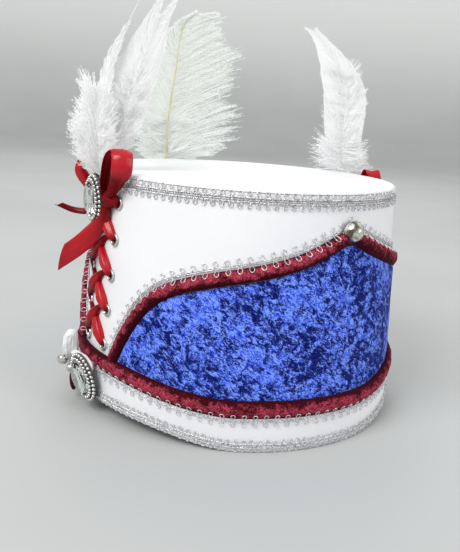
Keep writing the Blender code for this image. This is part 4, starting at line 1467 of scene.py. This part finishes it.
def add_fluff(shape, rng, read, low, high, left, right, tufts, climb):
    """Tufts of soft hairs that grow on both sides of the quill, from low to high up it.

    left and right are their lengths in mm, and climb is how steeply they rise in degrees.
    """
    hairs = tufts * HAIRS_PER_TUFT
    tuft = np.repeat(np.arange(tufts), HAIRS_PER_TUFT)
    steps = np.linspace(0, 1, TUFT_STEPS)[:, None]
    for side, long in ((-1, left), (1, right)):
        t0 = rng.uniform(low, high, tufts)[tuft] + rng.normal(0, 0.006, hairs)
        rising = np.radians(rng.normal(climb, 13, tufts)[tuft] + rng.normal(0, 5, hairs))
        swing = rng.uniform(-1.0, 1.0, tufts)[tuft] + rng.normal(0, 0.1, hairs)
        length = long * MM * rng.uniform(0.55, 1.0, tufts)[tuft] * rng.uniform(0.75, 1.0, hairs)
        shares = np.broadcast_to(t0, (TUFT_STEPS, hairs))
        centre, half, _, facing, start = read(shares)
        sideways = side * np.cos(swing) * length * np.cos(rising)
        forth = np.sin(swing) * length * np.cos(rising) * 0.7
        points = centre + FEATHER_ACROSS * (start * half + sideways * steps**0.85)[..., None]
        points = points + facing * (forth * steps)[..., None]
        points[..., 2] += length * np.sin(rising) * steps**1.25
        add_hairs(shape, rng, clear_of_hat(points), facing, shares, *FLUFF_HAIR)


def feather(
    name, seed, barbs, segments, lean, width, fray, bundles, bundling, spread, barbules, quill, material,
    low_lean=1.0, bend=1.0, barbule_length=(0.6, 1.4), barbule_angle=(30, 10), quill_finish=None, missing=(),
    last=0.985, split=0.0, fluff=(),
):
    """Barbs that fill the blade's outline from a quill, tufts of fluff, and the fine barbules on them.

    A bend over 1 lays the barbs' ends over and under 1 lifts them. low_lean is the share of the lean that
    the lowest barbs have. missing holds (side, start, end, reach) of thin places at the blade's edge. split
    opens a notch from that place up to the tip. Each row of fluff says what add_fluff takes.
    """
    rng = np.random.default_rng(seed)
    rows = FEATHERS[name]
    course = Course(np.array(rows) * (MM, MM, MM, MM, MM, 1))
    first = next(index for index, row in enumerate(rows) if row[3] > 5)
    vane_start = float(np.interp(max(first - 0.6, 0), course.steps, course.shares))

    def read(share):
        share = np.clip(share, 0, 1)
        values = course.at(share)
        facing = unit(np.cross(course.heading(share), FEATHER_ACROSS))
        return values[..., :3], values[..., 3] / 2, values[..., 4] / 2, facing, values[..., 5]

    shape = new_shape()
    q = np.linspace(0, 1, segments + 1)[:, None]
    for side in (-1, 1):
        t0 = vane_start + (last - vane_start) * (np.arange(barbs) + rng.uniform(0, 0.9, barbs)) / barbs
        group = (t0 + rng.normal(0, 0.003, barbs)) * bundles * (1 + 0.1 * side)
        group = np.maximum(group, 0).astype(int)
        clump = rng.normal(0, 1, group.max() + 2)[group]
        reach = 1 + fray * (0.6 * clump + 0.6 * rng.normal(0, 1, barbs)) - fray * 0.5
        leaning = lean * (low_lean + (1 - low_lean) * smoothstep((t0 - vane_start) / 0.35))
        leaning = leaning * (1 + 0.10 * clump + 0.10 * rng.normal(0, 1, barbs))
        t_end = t0 + (1.0 - t0) * (1 - np.exp(-leaning / (1.0 - t0 + 1e-3)))
        for which, start, end, kept in missing:
            if which == side:
                reach = np.where((t_end > start) & (t_end < end), reach * kept, reach)
        t = t0 + (t_end - t0) * (1 - (1 - q) ** bend) + (bundled(t_end, group, bundling) - t_end) * q**2.2
        centre, half, thick, facing, start = read(t)
        s = start + (side - start) * reach * (q ** (0.88 if bend < 1 else 1.0))
        if split:
            notch = 0.55 * smoothstep((t - split) / (1 - split)) ** 0.7
            s = np.where(t > split, side * (notch + (1 - notch) * np.abs(s)), s)
        loose = bundled(rng.normal(0, 1, barbs), group, bundling) * spread
        off = thick * (loose * q**1.2 + 0.5 * spread * q**2 - 0.2 * q)
        wave = 0.0004 * np.sin(7 * q + rng.uniform(0, 6.3, barbs)) * q * spread
        points = centre + FEATHER_ACROSS * (s * half)[..., None] + facing * (off + wave)[..., None]
        points = clear_of_hat(points)
        add_hairs(shape, rng, points, facing, t, width, barbules, barbule_length, barbule_angle)
    for row in fluff:
        add_fluff(shape, rng, read, *row)
    finish_piece(f"feather_{name}_vane", shape, material, [f"feather_{name}"], weld=0)

    steps = np.linspace(0, 0.93, 70)
    centre, half, _, facing, start = read(steps)
    path = centre + FEATHER_ACROSS * (start * half)[:, None]
    shape = new_shape()
    swept(shape, path, quill * MM * (1 - 0.8 * steps), facing, 8)
    close_ends(shape, 12)
    finish_piece(f"feather_{name}_quill", shape, quill_finish or material)


def feathers():
    feather(
        "ostrich", 11, 700, segments=12, lean=0.19, low_lean=0.6, bend=1.25, width=0.28, fray=0.14,
        bundles=64, bundling=0.55, spread=0.7, barbules=15, barbule_length=(0.8, 2.2), quill=0.85,
        quill_finish=QUILL, material=CREAM_DOWN, fluff=((0.16, 0.42, 34, 34, 50, 18),),
    )
    feather(
        "goose", 12, 700, segments=9, lean=0.44, low_lean=0.7, bend=0.8, width=0.36, fray=0.04, bundles=34,
        bundling=0.15, spread=0.10, barbules=5, quill=0.3, material=WHITE_DOWN, split=0.86,
        fluff=((0.06, 0.36, 24, 24, 82, 38), (0.30, 0.52, 15, 22, 28, 44)),
    )
    feather(
        "marabou", 13, 110, segments=10, lean=0.36, low_lean=0.8, width=0.26, fray=0.15, bundles=40,
        bundling=0.3, spread=0.5, barbules=7, barbule_length=(0.5, 1.4), barbule_angle=(28, 10), quill=0.4,
        material=SOFT_DOWN,
        fluff=((0.08, 0.60, 20, 15, 120, 28), (0.30, 0.92, 21, 14, 95, 48), (0.12, 0.86, 12, 12, 56, 84)),
    )
    feather(
        "slim", 14, 200, segments=6, lean=0.10, bend=0.8, width=0.34, fray=0.12, bundles=18, bundling=0.6,
        spread=0.6, barbules=2, quill=0.5, material=WHITE_DOWN, last=0.74,
    )
    feather(
        "back", 15, 560, segments=9, lean=0.50, low_lean=0.8, bend=0.75, width=0.40, fray=0.03, bundles=26,
        bundling=0.15, spread=0.10, barbules=4, quill=0.3, material=WHITE_DOWN,
        missing=((1, 0.80, 0.84, 0.75), (1, 0.72, 0.75, 0.8)),
        fluff=((0.11, 0.30, 31, 22, 70, 14), (0.25, 0.70, 26, 20, 64, 40)),
    )


# ---------------------------------------------------------------- studio
LAMPS = (
    # name, azimuth and elevation in degrees, distance, size, watts, tint
    ("key_softbox", 18, 42, 1.6, 0.9, 16, (1.0, 0.985, 0.955)),
    ("fill_softbox", 118, 24, 2.0, 1.3, 9.6, (0.99, 0.99, 1.0)),
    ("top_softbox", 60, 82, 1.7, 1.1, 0.8, (1, 1, 1)),
    ("back_softbox", 240, 40, 2.0, 1.2, 8, (1, 1, 1)),
)
LAMPS_AIM = Vector((0, 0, 0.12))
FLOOR_LEVEL = -0.0002
FLOOR_RADIUS = 2.6
SWEEP_RADIUS = 1.0
LENS = 44.48
SENSOR = 36
CAMERA_PLACE = (0.3877, -0.2518, 0.1881)
CAMERA_TURNS = (4.02, 0.76, 13.57)  # roll, yaw and pitch in degrees


def floor():
    """Paper that lies flat round the hat and curves up far from it."""
    profile = [(radius, FLOOR_LEVEL) for radius in (0, 0.4, 1.0, FLOOR_RADIUS)]
    for turn in np.radians((12, 24, 36, 48, 60, 72, 84)):
        profile.append((FLOOR_RADIUS + SWEEP_RADIUS * math.sin(turn), SWEEP_RADIUS * (1 - math.cos(turn))))
    shape = turned(profile, 96)
    bmesh.ops.reverse_faces(shape, faces=shape.faces)
    finish_object("studio_floor", shape, studio_paper())


def lamp(name, azimuth, elevation, distance, size, power, tint):
    data = bpy.data.lights.new(name, "AREA")
    data.shape = "DISK"
    data.size = size
    data.energy = power
    data.color = tint
    light = bpy.data.objects.new(name, data)
    a, e = math.radians(azimuth), math.radians(elevation)
    back = Vector((math.sin(a) * math.cos(e), -math.cos(a) * math.cos(e), math.sin(e)))
    light.location = LAMPS_AIM + back * distance
    light.rotation_mode = "QUATERNION"
    light.rotation_quaternion = (-back).to_track_quat("-Z", "Y")
    bpy.context.collection.objects.link(light)


def studio():
    floor()
    for row in LAMPS:
        lamp(*row)
    world = bpy.data.worlds.new("studio_air")
    bpy.context.scene.world = world
    world.use_nodes = True
    background = world.node_tree.nodes["Background"]
    background.inputs["Color"].default_value = (0.95, 0.945, 0.93, 1)
    background.inputs["Strength"].default_value = 0.83


def camera():
    data = bpy.data.cameras.new("camera")
    data.sensor_fit = "VERTICAL"
    data.sensor_height = SENSOR
    data.sensor_width = SENSOR
    data.lens = LENS
    roll, yaw, pitch = map(math.radians, CAMERA_TURNS)
    across = Vector((math.cos(yaw), math.sin(yaw), 0))
    ahead = Vector((-math.sin(yaw), math.cos(yaw), 0))
    upright = Vector((0, 0, 1))
    forward = math.cos(pitch) * ahead - math.sin(pitch) * upright
    level_up = math.sin(pitch) * ahead + math.cos(pitch) * upright
    right = math.cos(roll) * across + math.sin(roll) * level_up
    up = math.cos(roll) * level_up - math.sin(roll) * across
    turn = Matrix.Rotation(math.radians(PHOTO_AZIMUTH), 3, "Z")
    columns = Matrix([turn @ right, turn @ up, turn @ -forward]).transposed()
    camera_object = bpy.data.objects.new("camera", data)
    camera_object.matrix_world = Matrix.Translation(CAMERA_PLACE) @ columns.to_4x4()
    bpy.context.collection.objects.link(camera_object)
    bpy.context.scene.camera = camera_object


camera()
studio()
bpy.context.scene.view_settings.view_transform = "Standard"
crown()
band()
band_piping()
for side, word in SIDES:
    panel_piping(side, word)
    panel_velvet(side, word)
    side_stud(side, word)


braids()
for end in ("front", "back"):
    eyelets(end)
    lacing(end)


knot("front", "bow_knot")
knot("back", "back_bow_knot")
for node, row in BOW.items():
    bow_piece(node, *row)


brooches()
ruffle()
velvet_loop()
feathers()
